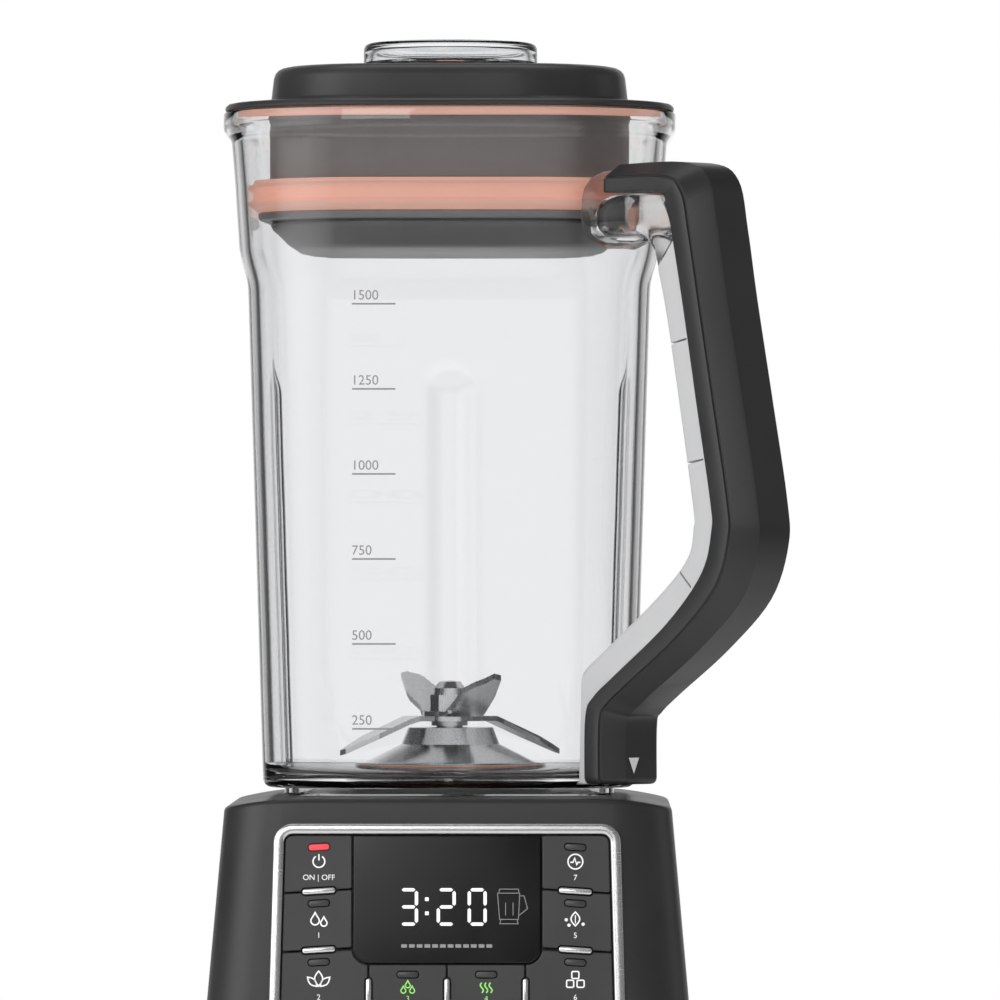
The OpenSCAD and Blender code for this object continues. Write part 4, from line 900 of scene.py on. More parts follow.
def make_jug_shell():
    """Outside from the foot ring to the lip, then inside down to the floor and its hole."""
    foot_corner = BODY_CORNER - 4
    inner, inner_corner = FOOT_RING - FOOT_BAND, foot_corner - FOOT_BAND
    rings = [jug_ring(*level, fluted=False) for level in (
        (inner, inner_corner, JUG_BOTTOM), (inner, inner_corner, JUG_LOW + 0.5),
        (inner + 0.5, inner_corner, JUG_LOW), (FOOT_RING - 0.5, foot_corner, JUG_LOW),
        (FOOT_RING, foot_corner, JUG_LOW + 0.5), (FOOT_RING, foot_corner, JUG_BOTTOM),
    )]
    hole = [round_ring(TUBE_R + 0.5, z, rings[0]) for z in (JUG_FLOOR, JUG_BOTTOM)]
    rings += floor_edge(JUG_BOTTOM, OUTER_EDGE) + wall_rings(0.0)
    rings += [flare_ring(share, down) for share, down in FLARE_OUT]
    lip = ((0.25, 0.25), (0.9, 0.0), (LIP_WALL - 0.6, 0.0), (LIP_WALL - 0.1, 0.3), (LIP_WALL, 0.8))
    rings += [flare_ring(1, down, inset) for inset, down in lip]
    rings += [flare_ring(share, down, mix(JUG_WALL, LIP_WALL, share)) for share, down in FLARE_IN]
    rings += reversed(floor_edge(JUG_FLOOR, INNER_EDGE, JUG_WALL) + wall_rings(JUG_WALL))
    return skin("jug_shell", rings + hole, loop=True)


def curve_through(points, steps):
    """Smooth line through the points."""
    line = []
    for i in range(len(points) - 1):
        a, b = Vector(points[max(i - 1, 0)]), Vector(points[i])
        c, d = Vector(points[i + 1]), Vector(points[min(i + 2, len(points) - 1)])
        slope, bend, twist = c - a, 2 * a - 5 * b + 4 * c - d, 3 * (b - c) + d - a
        for t in (k / steps for k in range(steps)):
            line.append(b + slope * t / 2 + bend * t * t / 2 + twist * t ** 3 / 2)
    return line + [Vector(points[-1])]


JUG_REACH = math.sqrt(2) * (BODY_FOOT - BODY_CORNER) + BODY_CORNER
COLLAR_REACH = math.sqrt(2) * (COLLAR_TOP - COLLAR_CORNER) + COLLAR_CORNER
GRIP_TOP = LIP - 17.3
GRIP_LOW = JUG_BOTTOM + 1.5


def grip_line(first, upper, lower, steps=6):
    """Line down the handle: a first point, points down from the top, then points up from the foot."""
    points = [first] + [(JUG_REACH + out, GRIP_TOP - down) for out, down in upper]
    return curve_through(points + [(JUG_REACH + out, GRIP_LOW + up) for out, up in lower], steps)


cover_back = grip_line(
    (COLLAR_REACH + 0.6, GRIP_TOP), [(36, 0), (47, 5.2), (50.9, 20), (54.6, 40), (60.9, 70)],
    [(67, 85), (67.6, 71.4), (60.6, 55.4), (43, 40.3), (22.7, 26.9), (15, 21.3), (13, 17.6), (12.9, 0)],
)
grip_seam = grip_line(
    (COLLAR_REACH + 0.6, GRIP_TOP - 8.5), [(31, 9), (35.2, 13), (37.5, 22), (41.8, 42), (47.6, 72)],
    [(53.3, 84), (53.7, 75.5), (49.6, 63), (35.3, 48.2), (14.3, 33.2), (4.6, 26.2), (1.2, 20), (0.9, 0)],
)
spine_front = grip_line(
    (COLLAR_REACH - 7, GRIP_TOP - 22), [(20, 21), (27.4, 25), (29.6, 32), (33.3, 46), (38.8, 73.5)],
    [(44.2, 82), (44.3, 76.5), (41.8, 67.5), (30, 56.5), (8.5, 41), (-2, 33), (-5, 24), (-5, 0)],
)


def on_grip(at, across):
    """Place of a point of the handle: out along the corner and up, then across the handle."""
    c = math.sqrt(0.5)
    return (c * (at.x + across), c * (across - at.x), at.y)


def grip_ring(back, front, section):
    """Ring round the handle between two points; the section gives (share of the depth, half width)."""
    right = [on_grip(back.lerp(front, share), -half) for share, half in section]
    return right + [on_grip(back.lerp(front, share), half) for share, half in reversed(section)]


def grip_strip(name, back, front, section, round_start=0.0, round_end=0.0):
    """Solid between two lines of the handle, with rounded ends."""
    rings = [grip_ring(b, f, section) for b, f in zip(back, front)]
    for radius, end, after in ((round_start, 0, 1), (round_end, -1, -2)):
        if radius:
            ring, inner = ([Vector(p) for p in rings[i]] for i in (end, after))
            middle = sum(ring, Vector()) / len(ring)
            step = (inner[0] - ring[0]).length
            fresh = []
            for turn in (0, 30, 60, 90):
                a = math.radians(turn)
                moved = [p.lerp(q, radius * (1 - math.sin(a)) / step) for p, q in zip(ring, inner)]
                pull = radius * (1 - math.cos(a))
                fresh.append([p - (p - middle).normalized() * pull for p in moved])
            rings[end:after if after > 0 else None] = list(reversed(fresh)) if end == 0 else fresh
    return skin(name, rings)


RIB_HALF = (0.3, 12.5)


def rib_tool(name, height):
    """Thin slab across the front of the spine, square to it, at a height."""
    at = min(range(2, len(spine_front) - 2), key=lambda i: abs(spine_front[i].y - height))
    front, seam = spine_front[at], grip_seam[at]
    along = (spine_front[at + 1] - spine_front[at - 1]).normalized()
    deep = Vector((-along.y, along.x))
    deep = deep if deep.dot(seam - front) > 0 else -deep
    slab = rectangle(*RIB_HALF)
    return skin(name, [
        [on_grip(front + deep * far + along * way, across) for way, across in slab] for far in (-2.0, 7.5)
    ])


def make_grip_root(back, front):
    """Clear lug that wraps the arm's root and joins the jug's collar to the spine."""
    shares = (0, 0.05, 0.14, 0.27, 0.38, 0.62, 0.74, 0.86, 0.95, 1)
    round_end = (9.0, 5.4, 2.3, 0.5, 0, 0, 0.7, 2.8, 6.0, 9.5)
    plain_end = (0.6, 0.1, 0, 0, 0, 0, 0, 0.3, 1.2, 3.0)
    root = [
        (66.0, -0.4, 66.0, 27.0, 15.6), (70.0, 0.0, 70.0, 26.0, 15.3), (73.0, 0.5, 73.0, 25.2, 15.0),
        (75.6, 1.6, 75.4, 24.4, 14.6), (76.7, 3.4, 76.6, 23.6, 14.2), (76.9, 8.8, 77.0, 23.0, 13.9),
    ]
    sections = [
        (Vector((b, GRIP_TOP - bd)), Vector((f, GRIP_TOP - fd)), half, 1.0) for b, bd, f, fd, half in root
    ]
    for i in range(1, len(back)):
        share = i / (len(back) - 1)
        sections.append((back[i], front[i], mix(13.6, 11.2, share), max(0.6 - share, 0)))
    rings = []
    for high, low, half, roundness in sections:
        less = [mix(p, r, roundness) for p, r in zip(plain_end, round_end)]
        rings.append(grip_ring(high, low, [(s, half - d) for s, d in zip(shares, less)]))
    return skin("grip_root", rings, angle=50)


jug_shell = make_jug_shell()
dress(jug_shell, "jug_body", "clear_plastic", jug_clear, "jug")

ROOT_LOW = GRIP_TOP - 21.0
ROOT_STEPS = next(i for i, p in enumerate(grip_seam) if p.y < ROOT_LOW)
JUG_GAP = -0.06
RIB_HEIGHTS = (302.0, 268.0, 236.0, 202.0)
SPINE_SECTION = [(0, 11), (0.4, 11), (0.8, 11), (0.9, 10.8), (0.96, 10.3), (1, 9.4)]
COVER_SECTION = [
    (0, 6.3), (0.05, 7.1), (0.44, 11.9), (0.455, 11.7), (0.49, 11.7), (0.51, 12.4), (0.54, 12.5),
    (0.95, 12.5), (1, 12.2),
]
spine_back = [a.lerp(b, 0.03) for a, b in zip(grip_seam, spine_front)]
grip_root = make_grip_root(spine_back[:ROOT_STEPS + 1], spine_front[:ROOT_STEPS + 1])
spine_lines = [
    [line[ROOT_STEPS].lerp(line[ROOT_STEPS + 1], 0.02)] + line[ROOT_STEPS + 1:]
    for line in (spine_back, spine_front)
]
spine = grip_strip("grip_spine", *spine_lines, SPINE_SECTION)
soften(spine, 0.4)
edge_rings = floor_edge(JUG_BOTTOM, OUTER_EDGE, JUG_GAP)
jug_envelope = skin("jug_envelope", [edge_rings[0], edge_rings[-1]] + wall_rings(JUG_GAP))
rib_tools = [rib_tool(f"rib_tool_{i}", z) for i, z in enumerate(RIB_HEIGHTS)]
cut_away(spine, jug_envelope, *rib_tools)
cut_away(grip_root, jug_envelope)
throw_away(jug_envelope, *rib_tools)
dress(spine, "jug_body", "clear_plastic", grip_frosted)
dress(grip_root, "jug_body", "clear_plastic", lug_smoky)

grip_cover = grip_strip("grip_cover", cover_back, grip_seam, COVER_SECTION, round_start=2.4, round_end=1.8)
soften(grip_cover, 0.35)
dress(grip_cover, "jug_body", "cover_black", cover_plastic, "handle_cover")


SOCKET_R = 22.8


def make_lid_cover():
    """Flange, crowned plateau and the socket for the cap, with the hollow under them."""
    like = square_ring(PLATEAU_HALF, LID_CORNER, 0)
    socket = [(SOCKET_R, FLANGE_LOW)] + shifted((SOCKET_R, LID_TOP), ((0, -1.0), (0.3, -0.3), (1.0, 0)))
    rings = [round_ring(radius, z, like) for radius, z in socket + [(27.5, LID_TOP)]]
    levels = shifted((PLATEAU_HALF, LID_CORNER, LID_TOP), (
        (-22, -4, 0), (-9, -2, -0.05), (-4.2, -1, -0.2), (-2.7, 0, -0.55), (-1.6, 0, -1.2), (-0.9, 0, -2.1),
        (-0.4, 0, -3.6),
    ))
    levels += shifted((PLATEAU_HALF, LID_CORNER, FLANGE_TOP), (
        (0.3, 0, 1.7), (0.6, 0, 0.9), (1.3, 0.6, 0.4), (2.6, 1.4, 0.25),
    ))
    levels += shifted((FLANGE_HALF, FLANGE_CORNER, FLANGE_TOP), (
        (-2.0, -2.0, 0), (-0.8, -0.8, -0.25), (-0.2, 0, -0.8),
    ))
    levels += shifted((FLANGE_HALF, FLANGE_CORNER, FLANGE_LOW), (
        (0, 0, 0.8), (-0.2, 0, 0.2), (-0.7, -0.7, 0),
    ))
    hollow, hollow_corner = PLATEAU_HALF - LID_WALL, LID_CORNER - LID_WALL
    levels.append((hollow, hollow_corner, FLANGE_LOW))
    levels += shifted((hollow, hollow_corner, LID_TOP - LID_WALL), ((0, 0, -3), (-6, 0, 0)))
    rings += [square_ring(*level) for level in levels]
    rings += [round_ring(SOCKET_R + LID_WALL, z, like) for z in (LID_TOP - LID_WALL, FLANGE_LOW)]
    return skin("lid_top", rings, loop=True)


def square_shell(name, levels, loop=True):
    """Square rings of (half width, corner radius, height), joined up in order."""
    return skin(name, [square_ring(*level) for level in levels], loop=loop)


def make_drum():
    """Drum under the lid: seal groove below, flat neck on top and a small hole for the valve."""
    top = FLANGE_LOW - 2.6
    neck = FLANGE_HALF - 6.2
    hollow = (DRUM_HALF - 3.6, LID_CORNER - 3)
    foot = (DRUM_HALF + 3.4, LID_CORNER + 3)
    levels = [(*hollow, PLUG_LOW)] + shifted((*foot, PLUG_LOW), ((-0.8, 0, 0), (-0.2, 0, 0.3), (0, 0, 0.8)))
    levels += shifted((*foot, SEAL_LOW), ((0, 0, -0.4), (-0.4, 0, 0)))
    levels.append((DRUM_HALF - 1, LID_CORNER, SEAL_LOW))
    levels += shifted((DRUM_HALF, LID_CORNER, DRUM_LOW), ((-1, 0, 0), (-0.4, 1, 0), (0, 1, 0.5)))
    levels += shifted((DRUM_HALF, LID_CORNER, top), ((0, 1, -1.6), (0.5, 1, -0.5), (1.6, 2, 0)))
    levels += shifted((neck, PLATE_CORNER, top), ((-0.4, 0, 0), (0, 0, 0.4)))
    levels += [(neck, PLATE_CORNER, FLANGE_LOW), (10, 9.9, FLANGE_LOW), (3.2, 3.15, FLANGE_LOW)]
    levels += [(3.2, 3.15, top), (10, 9.9, top)]
    levels += shifted((*hollow, top), ((-2, -1, 0), (-0.6, 0, -0.6), (0, 0, -2)))
    return square_shell("lid_drum", levels)


def make_tray():
    """Dish under the drum, with a rim that sits inside it."""
    low, rim = low_of("lid_tray").z, top_of("lid_tray").z
    top = PLUG_LOW - 0.5
    rim_half = DRUM_HALF - 3.9
    levels = [(12, 11.8, low)] + shifted((PLATEAU_HALF, LID_CORNER, low), (
        (-8.5, -5, 0), (-6.2, -4, 0.5), (-4.4, -3, 1.6), (-1.6, 0, 4.4),
    ))
    levels += shifted((DRUM_HALF, LID_CORNER + 1, top), (
        (-0.9, 0, -2.2), (-0.3, 0, -1.0), (-0.3, 0, -0.4), (-0.8, 0, 0),
    ))
    levels.append((rim_half, LID_CORNER - 3.3, top))
    levels += shifted((rim_half, LID_CORNER, rim), (
        (0, -3.3, -0.4), (-0.4, -3.5, 0), (-1.6, -5, 0), (-2, -5.3, -0.4),
    ))
    levels.append((rim_half - 2, LID_CORNER - 5.3, low + 5))
    levels += [(PLATEAU_HALF - 9, LID_CORNER - 6, low + 2), (12, 11.8, low + 2)]
    return square_shell("lid_tray_dish", levels, loop=False)


def make_rim_seal():
    """Flat ring between the flange and the jug's lip."""
    outer = (LIP_HALF - LIP_WALL - 0.3, LIP_CORNER - LIP_WALL + 1)
    inner = (FLANGE_HALF - 6.1, PLATE_CORNER)
    levels = shifted((*outer, RIM), ((-0.9, 0, 0), (-0.3, 0, 0.35)))
    levels += shifted((*outer, mix(RIM, FLANGE_LOW, 0.5)), ((0, 0, -0.5), (0, 0, 0.5)))
    levels += shifted((*outer, FLANGE_LOW), ((-0.3, 0, -0.35), (-0.9, 0, 0)))
    return square_shell("rim_seal", levels + [(*inner, FLANGE_LOW), (*inner, RIM)])


SEAL_LIPS = (
    (2.8, 0.01), (1.0, 0.14), (0.2, 0.22), (0, 0.28), (0.5, 0.34), (1.4, 0.38),
    (1.4, 0.60), (0.5, 0.66), (0, 0.74), (0.2, 0.80), (1.4, 0.87), (1.8, 0.99),
)


def make_plug_seal():
    """Double-lipped seal round the drum: (inset from the lips, share of the height)."""
    outer, corner = top_of("lid_plug_seal").x, COLLAR_CORNER - JUG_WALL - 1
    levels = [(outer - inset, corner, mix(SEAL_LOW, DRUM_LOW, share)) for inset, share in SEAL_LIPS]
    levels += [(DRUM_HALF - 0.9, LID_CORNER, mix(SEAL_LOW, DRUM_LOW, share)) for share in (0.99, 0.01)]
    return square_shell("plug_seal", levels)


def make_cap():
    """Clear measuring cap: dished top, rounded rim and a skirt that goes into the lid."""
    skirt = CAP_R - 4
    inner = skirt - 2.2
    skirt_low = FLANGE_LOW + 8
    profile = [(0.4, CAP_TOP - 0.5)] + shifted((CAP_R, CAP_TOP), (
        (-9.0, -0.4), (-4.0, -0.1), (-2.4, 0), (-1.2, -0.2), (-0.5, -0.7), (-0.1, -1.5), (0, -2.4),
    ))
    profile += shifted((CAP_R, CAP_LOW), ((0, 0.6), (-0.2, 0.2), (-0.6, 0)))
    profile += shifted((skirt, CAP_LOW), ((0.5, 0), (0, -0.5)))
    profile += shifted((skirt, skirt_low), ((0, 0.4), (-0.4, 0)))
    profile += shifted((inner, skirt_low), ((0.4, 0), (0, 0.4)))
    profile += shifted((inner, CAP_LOW), ((0, 0.8), (0.4, 1.4)))
    profile += shifted((CAP_R, CAP_LOW), ((-3.0, 1.8), (-2.4, 2.4)))
    profile += shifted((CAP_R, CAP_TOP), ((-2.4, -3.4), (-2.9, -2.5), (-4.4, -2.1)))
    return turned("measuring_cap", profile + [(0.4, CAP_TOP - 2.1)])


dress(make_lid_cover(), "lid_body", "lid_black", lid_plastic, "lid_cover")
dress(make_drum(), "lid_body", "lid_black", drum_plastic, "lid_plug")
dress(make_tray(), "lid_body", "lid_black", tray_plastic, "lid_tray")
dress(make_rim_seal(), "lid_body", "seal_pink", seal_silicone_painted_glow, "lid_rim_seal")
dress(make_plug_seal(), "lid_body", "seal_pink", seal_silicone_painted_glow, "lid_plug_seal")
dress(make_cap(), "cap_body", "clear_plastic", cap_clear, "lid_cap")


def ribbon(points, width, closed=False):
    """Left and right edges of a flat stroke along a line."""
    line = [Vector(p) for p in points]
    rows = []
    for i, at in enumerate(line):
        before = line[i - 1] if i or closed else at
        after = line[(i + 1) % len(line)] if i + 1 < len(line) or closed else at
        into, out = (at - before), (after - at)
        into = into.normalized() if into.length else out.normalized()
        out = out.normalized() if out.length else into
        bend = (into + out).normalized()
        reach = width / 2 / max(bend.dot(into), 0.5)
        across = Vector((-bend.y, bend.x)) * reach
        rows.append((at + across, at - across))
    return rows


INK = 0.03


def inked(name, strokes, fills=(), height=KEY_FACE + INK, place=PANEL):
    """Flat marking of strokes (points, width, closed) and filled outlines, just above a face."""
    deselect_all()
    bpy.ops.mesh.primitive_plane_add(size=1)
    piece = bpy.context.object
    piece.name = piece.data.name = name
    mesh = bmesh.new()

    def corner(at):
        return mesh.verts.new((at[0] * MM, at[1] * MM, height * MM))

    for points, width, closed in strokes:
        rows = [[corner(p) for p in row] for row in ribbon(points, width, closed)]
        pairs = list(zip(rows, rows[1:])) + ([(rows[-1], rows[0])] if closed else [])
        for (left, right), (next_left, next_right) in pairs:
            mesh.faces.new((left, right, next_right, next_left))
    for outline in fills:
        mesh.faces.new([corner(p) for p in outline])
    bmesh.ops.recalc_face_normals(mesh, faces=mesh.faces)
    for face in mesh.faces:
        face.normal_update()
        if face.normal.z < 0:
            face.normal_flip()
    mesh.to_mesh(piece.data)
    mesh.free()
    piece.data.transform(place)
    return piece


def lettered(name, words, size, middle, height=KEY_FACE + INK, place=PANEL, align="CENTER"):
    """Numerals or a plain word as a flat marking."""
    deselect_all()
    bpy.ops.object.text_add()
    piece = bpy.context.object
    piece.data.body = words
    piece.data.size = size * MM
    piece.data.align_x = align
    piece.data.align_y = "CENTER"
    bpy.ops.object.convert(target="MESH")
    piece = bpy.context.object
    piece.name = piece.data.name = name
    piece.data.transform(place @ Matrix.Translation((middle[0] * MM, middle[1] * MM, height * MM)))
    return piece


def drop(middle, radius):
    """Outline of a drop: a round foot drawn up to a point."""
    point = [(radius * 0.42, radius * 1.15), (0, radius * 1.95), (-radius * 0.42, radius * 1.15)]
    return arc(middle, radius, 150, 390, 16) + shifted(middle, point)


def petal(foot, tip, swell):
    """Outline of a leaf between two points, swelling to both sides."""
    foot, tip = Vector(foot), Vector(tip)
    across = Vector((foot.y - tip.y, tip.x - foot.x)).normalized() * swell
    shares = [i / 8 for i in range(9)]
    up = [foot.lerp(tip, s) + across * math.sin(math.pi * s) for s in shares]
    down = [foot.lerp(tip, s) - across * math.sin(math.pi * s) for s in reversed(shares[1:-1])]
    return [tuple(p) for p in up + down]


def rounded_box(middle, half, radius):
    return shifted(middle, fillet(rectangle(half, half), [radius] * 4))


def wisp(u):
    """Rising wisp of steam."""
    return [(u + 0.45 * math.sin(2 * math.pi * i / 12), 3.0 * i / 12 - 1.5) for i in range(13)]


ICON_W = 0.42
FINE_W = 0.36
VEIN_W = 0.3
WORD_SIZE = 2.3
icon_v = {0: 115.7, 1: 98.5, 2: 80.7, None: 78.2}
word_v = {0: 110.9, 1: 93.7, 2: 75.3, None: 74.9}
# Strokes and filled outlines of each icon, about its middle
icons = {
    "start_stop_key": ([
        (arc((0, 0), 1.75, 122, 418), ICON_W, False), ([(0, 0.3), (0, 2.2)], ICON_W, False),
    ], []),
    "drops_key": ([(drop((-1.1, -0.4), 1.25), ICON_W, True), (drop((1.5, -1.1), 0.95), ICON_W, True)], []),
    "leaf_key": ([(petal(*leaf), ICON_W, True) for leaf in (
        ((0, -2.0), (0, 2.4), 1.2), ((-0.5, -2.1), (-3.3, 0.6), 0.9), ((0.5, -2.1), (3.3, 0.6), 0.9),
    )], []),
    "pulse_key": ([
        (arc((0, 0), 2.2, 0, 350, 30), ICON_W, True),
        ([(-1.5, -0.2), (-0.7, -0.2), (-0.2, 1.0), (0.4, -0.9), (0.8, -0.2), (1.5, -0.2)], ICON_W, False),
    ], []),
    "grind_key": (
        [(petal((0, -1.9), (0, 2.2), 1.3), ICON_W, True), ([(0, -1.2), (0, 1.3)], VEIN_W, False)],
        [arc(at, 0.5, 0, 345, 12) for at in ((-2.7, -0.1), (-1.9, -1.7), (2.3, -1.4))],
    ),
    "ice_key": ([
        (rounded_box(at, 1.05, 0.4), ICON_W, True) for at in ((0, 1.3), (-1.55, -1.3), (1.55, -1.3))
    ], []),
    "cream_key": ([(drop(at, 0.72), FINE_W, True) for at in ((0, 0.7), (-1.3, -0.9), (1.3, -0.9))], []),
    "soup_key": ([(wisp(u), ICON_W, False) for u in (-1.3, 0, 1.3)], []),
}
key_words = {
    "start_stop_key": "ON | OFF", "drops_key": "1", "leaf_key": "2", "cream_key": "3",
    "soup_key": "4", "grind_key": "5", "ice_key": "6", "pulse_key": "7",
}
for name, (strokes, fills) in icons.items():
    side, row = key_names[name]
    u = side * (MID_HALF / 2 if row is None else BAR_U)
    middle = (u, icon_v[row])
    strokes = [(shifted(middle, points), width, closed) for points, width, closed in strokes]
    drawn = inked(name + "_icon", strokes, [shifted(middle, outline) for outline in fills])
    word = lettered(name + "_word", key_words[name], WORD_SIZE, (u, word_v[row]))
    ink = print_green if row is None else print_white
    dress(join(name + "_print", [drawn, word]), name + "_body", "key_black", ink)

DIGIT_W, DIGIT_H, SEGMENT_W, SEGMENT_GAP = 4.7, 10.2, 1.0, 0.32
DIGIT_V = 97.1
LIT = {"2": "abged", "3": "abgcd", "0": "abcdef"}


def segments(digit, u):
    """Filled outlines of a seven-segment digit whose left edge is at u."""
    half, mid, gap = SEGMENT_W / 2, DIGIT_H / 2, SEGMENT_GAP
    tip = half + gap
    far, high = DIGIT_W - tip, mid - tip
    flat = [(gap, 0), (tip, half), (far, half), (DIGIT_W - gap, 0), (far, -half), (tip, -half)]
    tall = [(0, gap), (half, tip), (half, high), (0, mid - gap), (-half, high), (-half, tip)]
    shapes = {
        "a": (flat, 0, DIGIT_H), "g": (flat, 0, mid), "d": (flat, 0, 0),
        "f": (tall, 0, mid), "b": (tall, DIGIT_W, mid), "e": (tall, 0, 0), "c": (tall, DIGIT_W, 0),
    }
    lit = [shapes[name] for name in LIT[digit]]
    return [shifted((u + across, DIGIT_V + up), outline) for outline, across, up in lit]


digits = segments("3", -13.8) + segments("2", -2.6) + segments("0", 6.6)
digits += [rounded_box((-6.0, DIGIT_V + up), 0.55, 0.1) for up in (3.2, 7.4)]
dress(inked("time_digits", [], digits, LENS_FACE + INK), "base", "lens_black", digit_white)

JAR_U = 18.6
jar = [
    ([(-3.6, 9.2), (-3.0, 1.4), (2.6, 1.4), (3.0, 9.2)], True),
    ([(-2.6, 1.4), (-2.9, 0.1), (2.5, 0.1), (2.2, 1.4)], False),
    ([(-3.2, 9.2), (-3.0, 10.4), (2.6, 10.4), (2.8, 9.2)], False),
    ([(3.0, 8.4), (4.3, 8.4), (5.3, 4.6), (2.8, 2.6)], False),
    ([(-1.2, 2.6), (-1.2, 6.4)], False), ([(1.0, 2.6), (1.0, 6.4)], False),
]
jar_strokes = [(shifted((JAR_U, DIGIT_V), points), 0.2, closed) for points, closed in jar]
dashes = [shifted((2.3 * i - 12.75, 90.6), rectangle(0.85, 0.5)) for i in range(12)]
faint_marks = inked("display_faint_marks", jar_strokes, dashes, LENS_FACE + INK)
dress(faint_marks, "base", "lens_black", print_grey)

SCALE_STEP = 250
SCALE_RISE = 25.4
SCALE_FOOT = JUG_FLOOR + 14.5
SCALE_LEFT, SCALE_RIGHT = -28.6, -15.6
NUMBER_SIZE, NUMBER_AT = 4.1, (-28.8, 2.5)
scale_pieces = []
for number in range(SCALE_STEP, 1501, SCALE_STEP):
    z = SCALE_FOOT + (number / SCALE_STEP - 1) * SCALE_RISE
    lean = math.atan((body_half(z + 4) - body_half(z)) / 4)
    stand = Matrix.Rotation(math.pi / 2 + lean, 4, "X")
    face = Matrix.Translation((0, -(body_half(z) + 0.1) * MM, z * MM)) @ stand
    line = [([(SCALE_LEFT, 0), (SCALE_RIGHT, 0)], 0.5, False)]
    scale_pieces.append(inked(f"line_{number}", line, height=0, place=face))
    scale_pieces.append(lettered(f"number_{number}", str(number), NUMBER_SIZE, NUMBER_AT, 0, face, "LEFT"))
dress(join("jug_scale", scale_pieces), "jug_body", "clear_plastic", scale_ink_painted_shade)

block_face = (
    Matrix.Rotation(-math.pi / 4, 4, "Z") @ Matrix.Translation(((JUG_REACH + 13.04) * MM, 0, 0))
    @ Matrix.Rotation(math.pi / 2, 4, "Z") @ Matrix.Rotation(math.pi / 2, 4, "X")
)
pointer = inked("lock_pointer", [], [[(-5.6, 146.0), (-3.4, 141.2), (-1.2, 146.0)]], 0, block_face)
dress(pointer, "jug_body", "cover_black", printed("pointer_grey", (0.62, 0.62, 0.62)))

DIAL_NUMBERS = 9
DIAL_START, DIAL_SWEEP = 225, 270
DIAL_SIZE = 2.6
TICK_IN, TICK_OUT, NUMBER_OUT = 18.9, 20.4, 22.3
ticks, dial = [], []
for number in range(1, DIAL_NUMBERS + 1):
    turn = math.radians(DIAL_START - (number - 1) * DIAL_SWEEP / (DIAL_NUMBERS - 1))
    out = Vector((math.cos(turn), math.sin(turn)))
    ticks.append((shifted((0, KNOB_UP), (out * TICK_IN, out * TICK_OUT)), 0.4, False))
    at = (out.x * NUMBER_OUT, out.y * NUMBER_OUT + KNOB_UP)
    dial.append(lettered(f"dial_{number}", str(number), DIAL_SIZE, at))
dress(join("knob_dial", [inked("dial_ticks", ticks)] + dial), "base", "key_black", print_white)
slot_of = {part["node"]: part["material_slot"] for part in frame["record"]["subparts"]}
for name, node in frame["nodes"].items():
    node.data.materials.clear()
    node.data.materials.append(slot_finishes[slot_of[name]])
frame["nodes"]["panel_carrier"].data.materials[0] = land_plastic


WHITE = (1, 1, 1, 1)
FLOOR_R = 1.1
FLOOR_FADE = (0.45, 1.05)
ROOM_LIGHT = 0.7
FADED_LEVEL = 36.0


def make_floor():
    """Pale disc under the object that fades out before the picture's lower edge."""
    deselect_all()
    bpy.ops.mesh.primitive_circle_add(vertices=96, radius=FLOOR_R, fill_type="NGON")
    floor = bpy.context.object
    floor.name = "pale_floor"
    finish, tree, place, shader = new_finish("pale_floor")
    feed(tree, shader, {"Base Color": (0.86, 0.86, 0.86, 1), "Roughness": 0.7})
    away = add_node(tree, "VectorMath", {0: place}, "LENGTH").node.outputs["Value"]
    fade = ranged(tree, away, *FLOOR_FADE, 0.0, 1.0)
    see_through = add_node(tree, "BsdfTransparent", {})
    blend = add_node(tree, "MixShader", {0: fade, 1: shader.outputs["BSDF"], 2: see_through})
    feed(tree, tree.nodes["Material Output"], {"Surface": blend})
    floor.data.materials.append(finish)


def make_sky():
    """White for the camera; gloss and clear pieces see white behind the object and a dim room round it.

    Through clear pieces it is also bright above and in front. Scattered light comes evenly from all round.
    """
    world = bpy.data.worlds.new("studio")
    bpy.context.scene.world = world
    world.use_nodes = True
    tree = world.node_tree
    tree.nodes.clear()
    direction = tree.nodes.new("ShaderNodeTexCoord").outputs["Generated"]
    toward = add_node(tree, "SeparateXYZ", {"Vector": direction}).node.outputs
    rays = tree.nodes.new("ShaderNodeLightPath").outputs
    through = rays["Is Transmission Ray"]
    behind = ranged(tree, toward["Y"], 0.78, 0.965, 0.05, 1.0)
    above = ranged(tree, toward["Z"], 0.15, 0.75, 0.0, 0.8)
    ahead = ranged(tree, toward["Y"], -0.7, -0.9, 0.0, 0.9)
    level = sums(tree, "MULTIPLY", sums(tree, "MAXIMUM", above, ahead), through)
    level = sums(tree, "MAXIMUM", behind, level)
    bounced = sums(tree, "MAXIMUM", rays["Is Glossy Ray"], through)
    unscattered = ranged(tree, rays["Diffuse Depth"], 0.0, 1.0, 1.0, 0.0)
    shown = sums(tree, "MULTIPLY", bounced, unscattered)
    fill, mirrored_room, white = (
        add_node(tree, "Background", {"Color": WHITE, "Strength": strength})
        for strength in (ROOM_LIGHT, level, 1.0)
    )
    room = add_node(tree, "MixShader", {0: shown, 1: fill, 2: mirrored_room})
    seen = add_node(tree, "MixShader", {0: rays["Is Camera Ray"], 1: room, 2: white})
    feed(tree, tree.nodes.new("ShaderNodeOutputWorld"), {"Surface": seen})


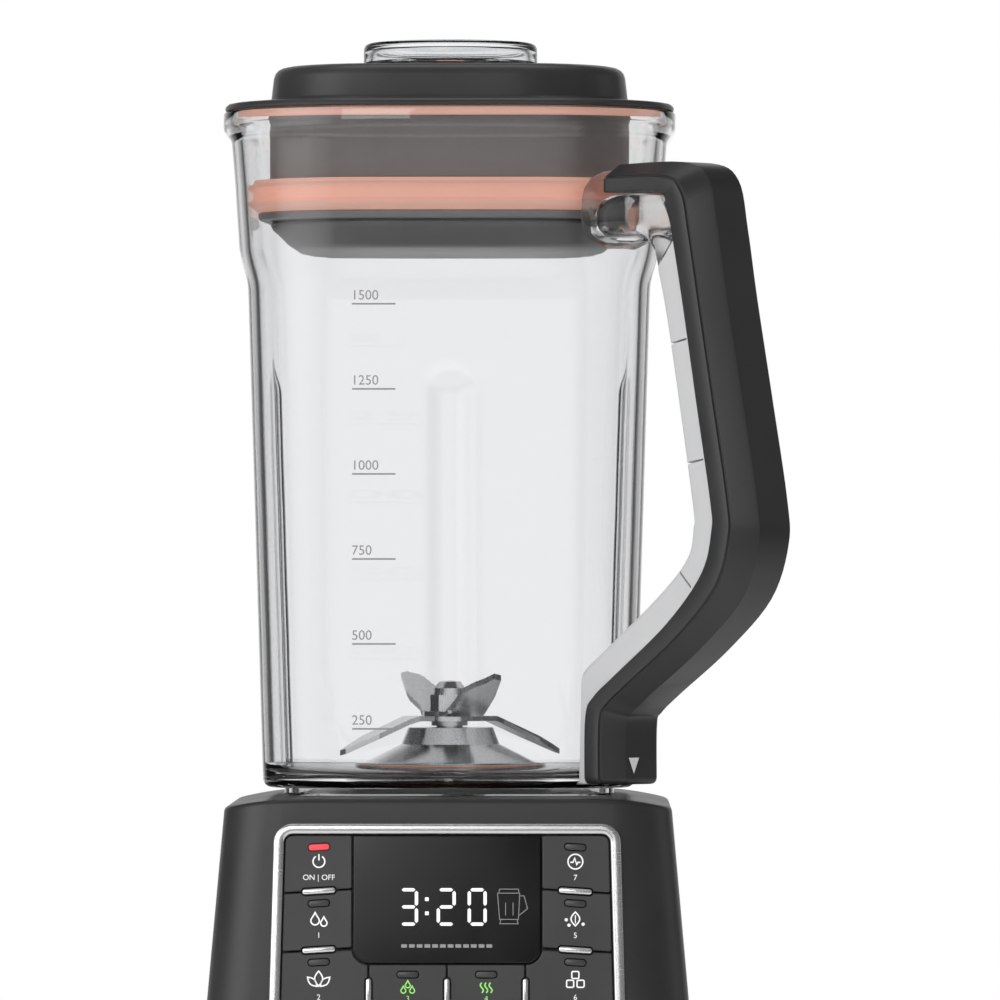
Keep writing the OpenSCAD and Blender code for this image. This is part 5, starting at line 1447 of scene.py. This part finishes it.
def fade_edges(lamp):
    """Makes a lamp brightest in its middle and dark at its edges, with the same light in all."""
    lamp.use_nodes = True
    tree = lamp.node_tree
    where = tree.nodes.new("ShaderNodeNewGeometry").outputs["Parametric"]
    split = add_node(tree, "SeparateXYZ", {"Vector": where}).node.outputs
    across, up = (sums(tree, "MULTIPLY", split[a], sums(tree, "SUBTRACT", 1.0, split[a])) for a in "XY")
    level = sums(tree, "MULTIPLY", sums(tree, "MULTIPLY", across, up), FADED_LEVEL)
    feed(tree, tree.nodes["Emission"], {"Strength": sums(tree, "MAXIMUM", level, 0.0)})


def softbox(name, place, aim, size, watts, faded=True):
    """Square lamp turned towards a point."""
    lamp = bpy.data.lights.new(name, "AREA")
    lamp.shape = "RECTANGLE"
    lamp.size, lamp.size_y = size
    lamp.energy = watts
    if faded:
        fade_edges(lamp)
    box = bpy.data.objects.new(name, lamp)
    bpy.context.scene.collection.objects.link(box)
    box.visible_transmission = False
    box.location = place
    box.rotation_euler = (Vector(aim) - Vector(place)).to_track_quat("-Z", "Y").to_euler()


def make_camera():
    """Long lens, level with the jug's lower half, far back so that the edges stay nearly upright."""
    away, turn = 2.85, math.radians(0.8)
    eye = 0.205
    camera = bpy.data.cameras.new("front_camera")
    camera.sensor_width = 36.0
    camera.lens = 336.4
    camera.shift_x = 0.0495
    camera.shift_y = 0.060
    camera.clip_end = 30.0
    stand = bpy.data.objects.new("front_camera", camera)
    bpy.context.scene.collection.objects.link(stand)
    stand.location = (away * math.sin(turn), -away * math.cos(turn), eye)
    stand.rotation_euler = (math.pi / 2, 0, turn)
    bpy.context.scene.camera = stand


make_floor()
make_sky()
softbox("left_side", (-1.3, -0.85, 0.6), (0, 0, 0.25), (1.9, 2.0), 14.0)
softbox("left_front", (-0.555, -2.3, 0.885), (-0.555, 0, 0.885), (1.0, 1.0), 10.0, faded=False)
softbox("right_side", (1.25, 0.35, 0.45), (0, 0, 0.2), (0.8, 1.2), 0.8)
softbox("overhead", (0.0, 0.1, 1.35), (0, 0, 0.2), (1.1, 1.1), 2.5)
make_camera()
bpy.context.scene.view_settings.view_transform = "Standard"
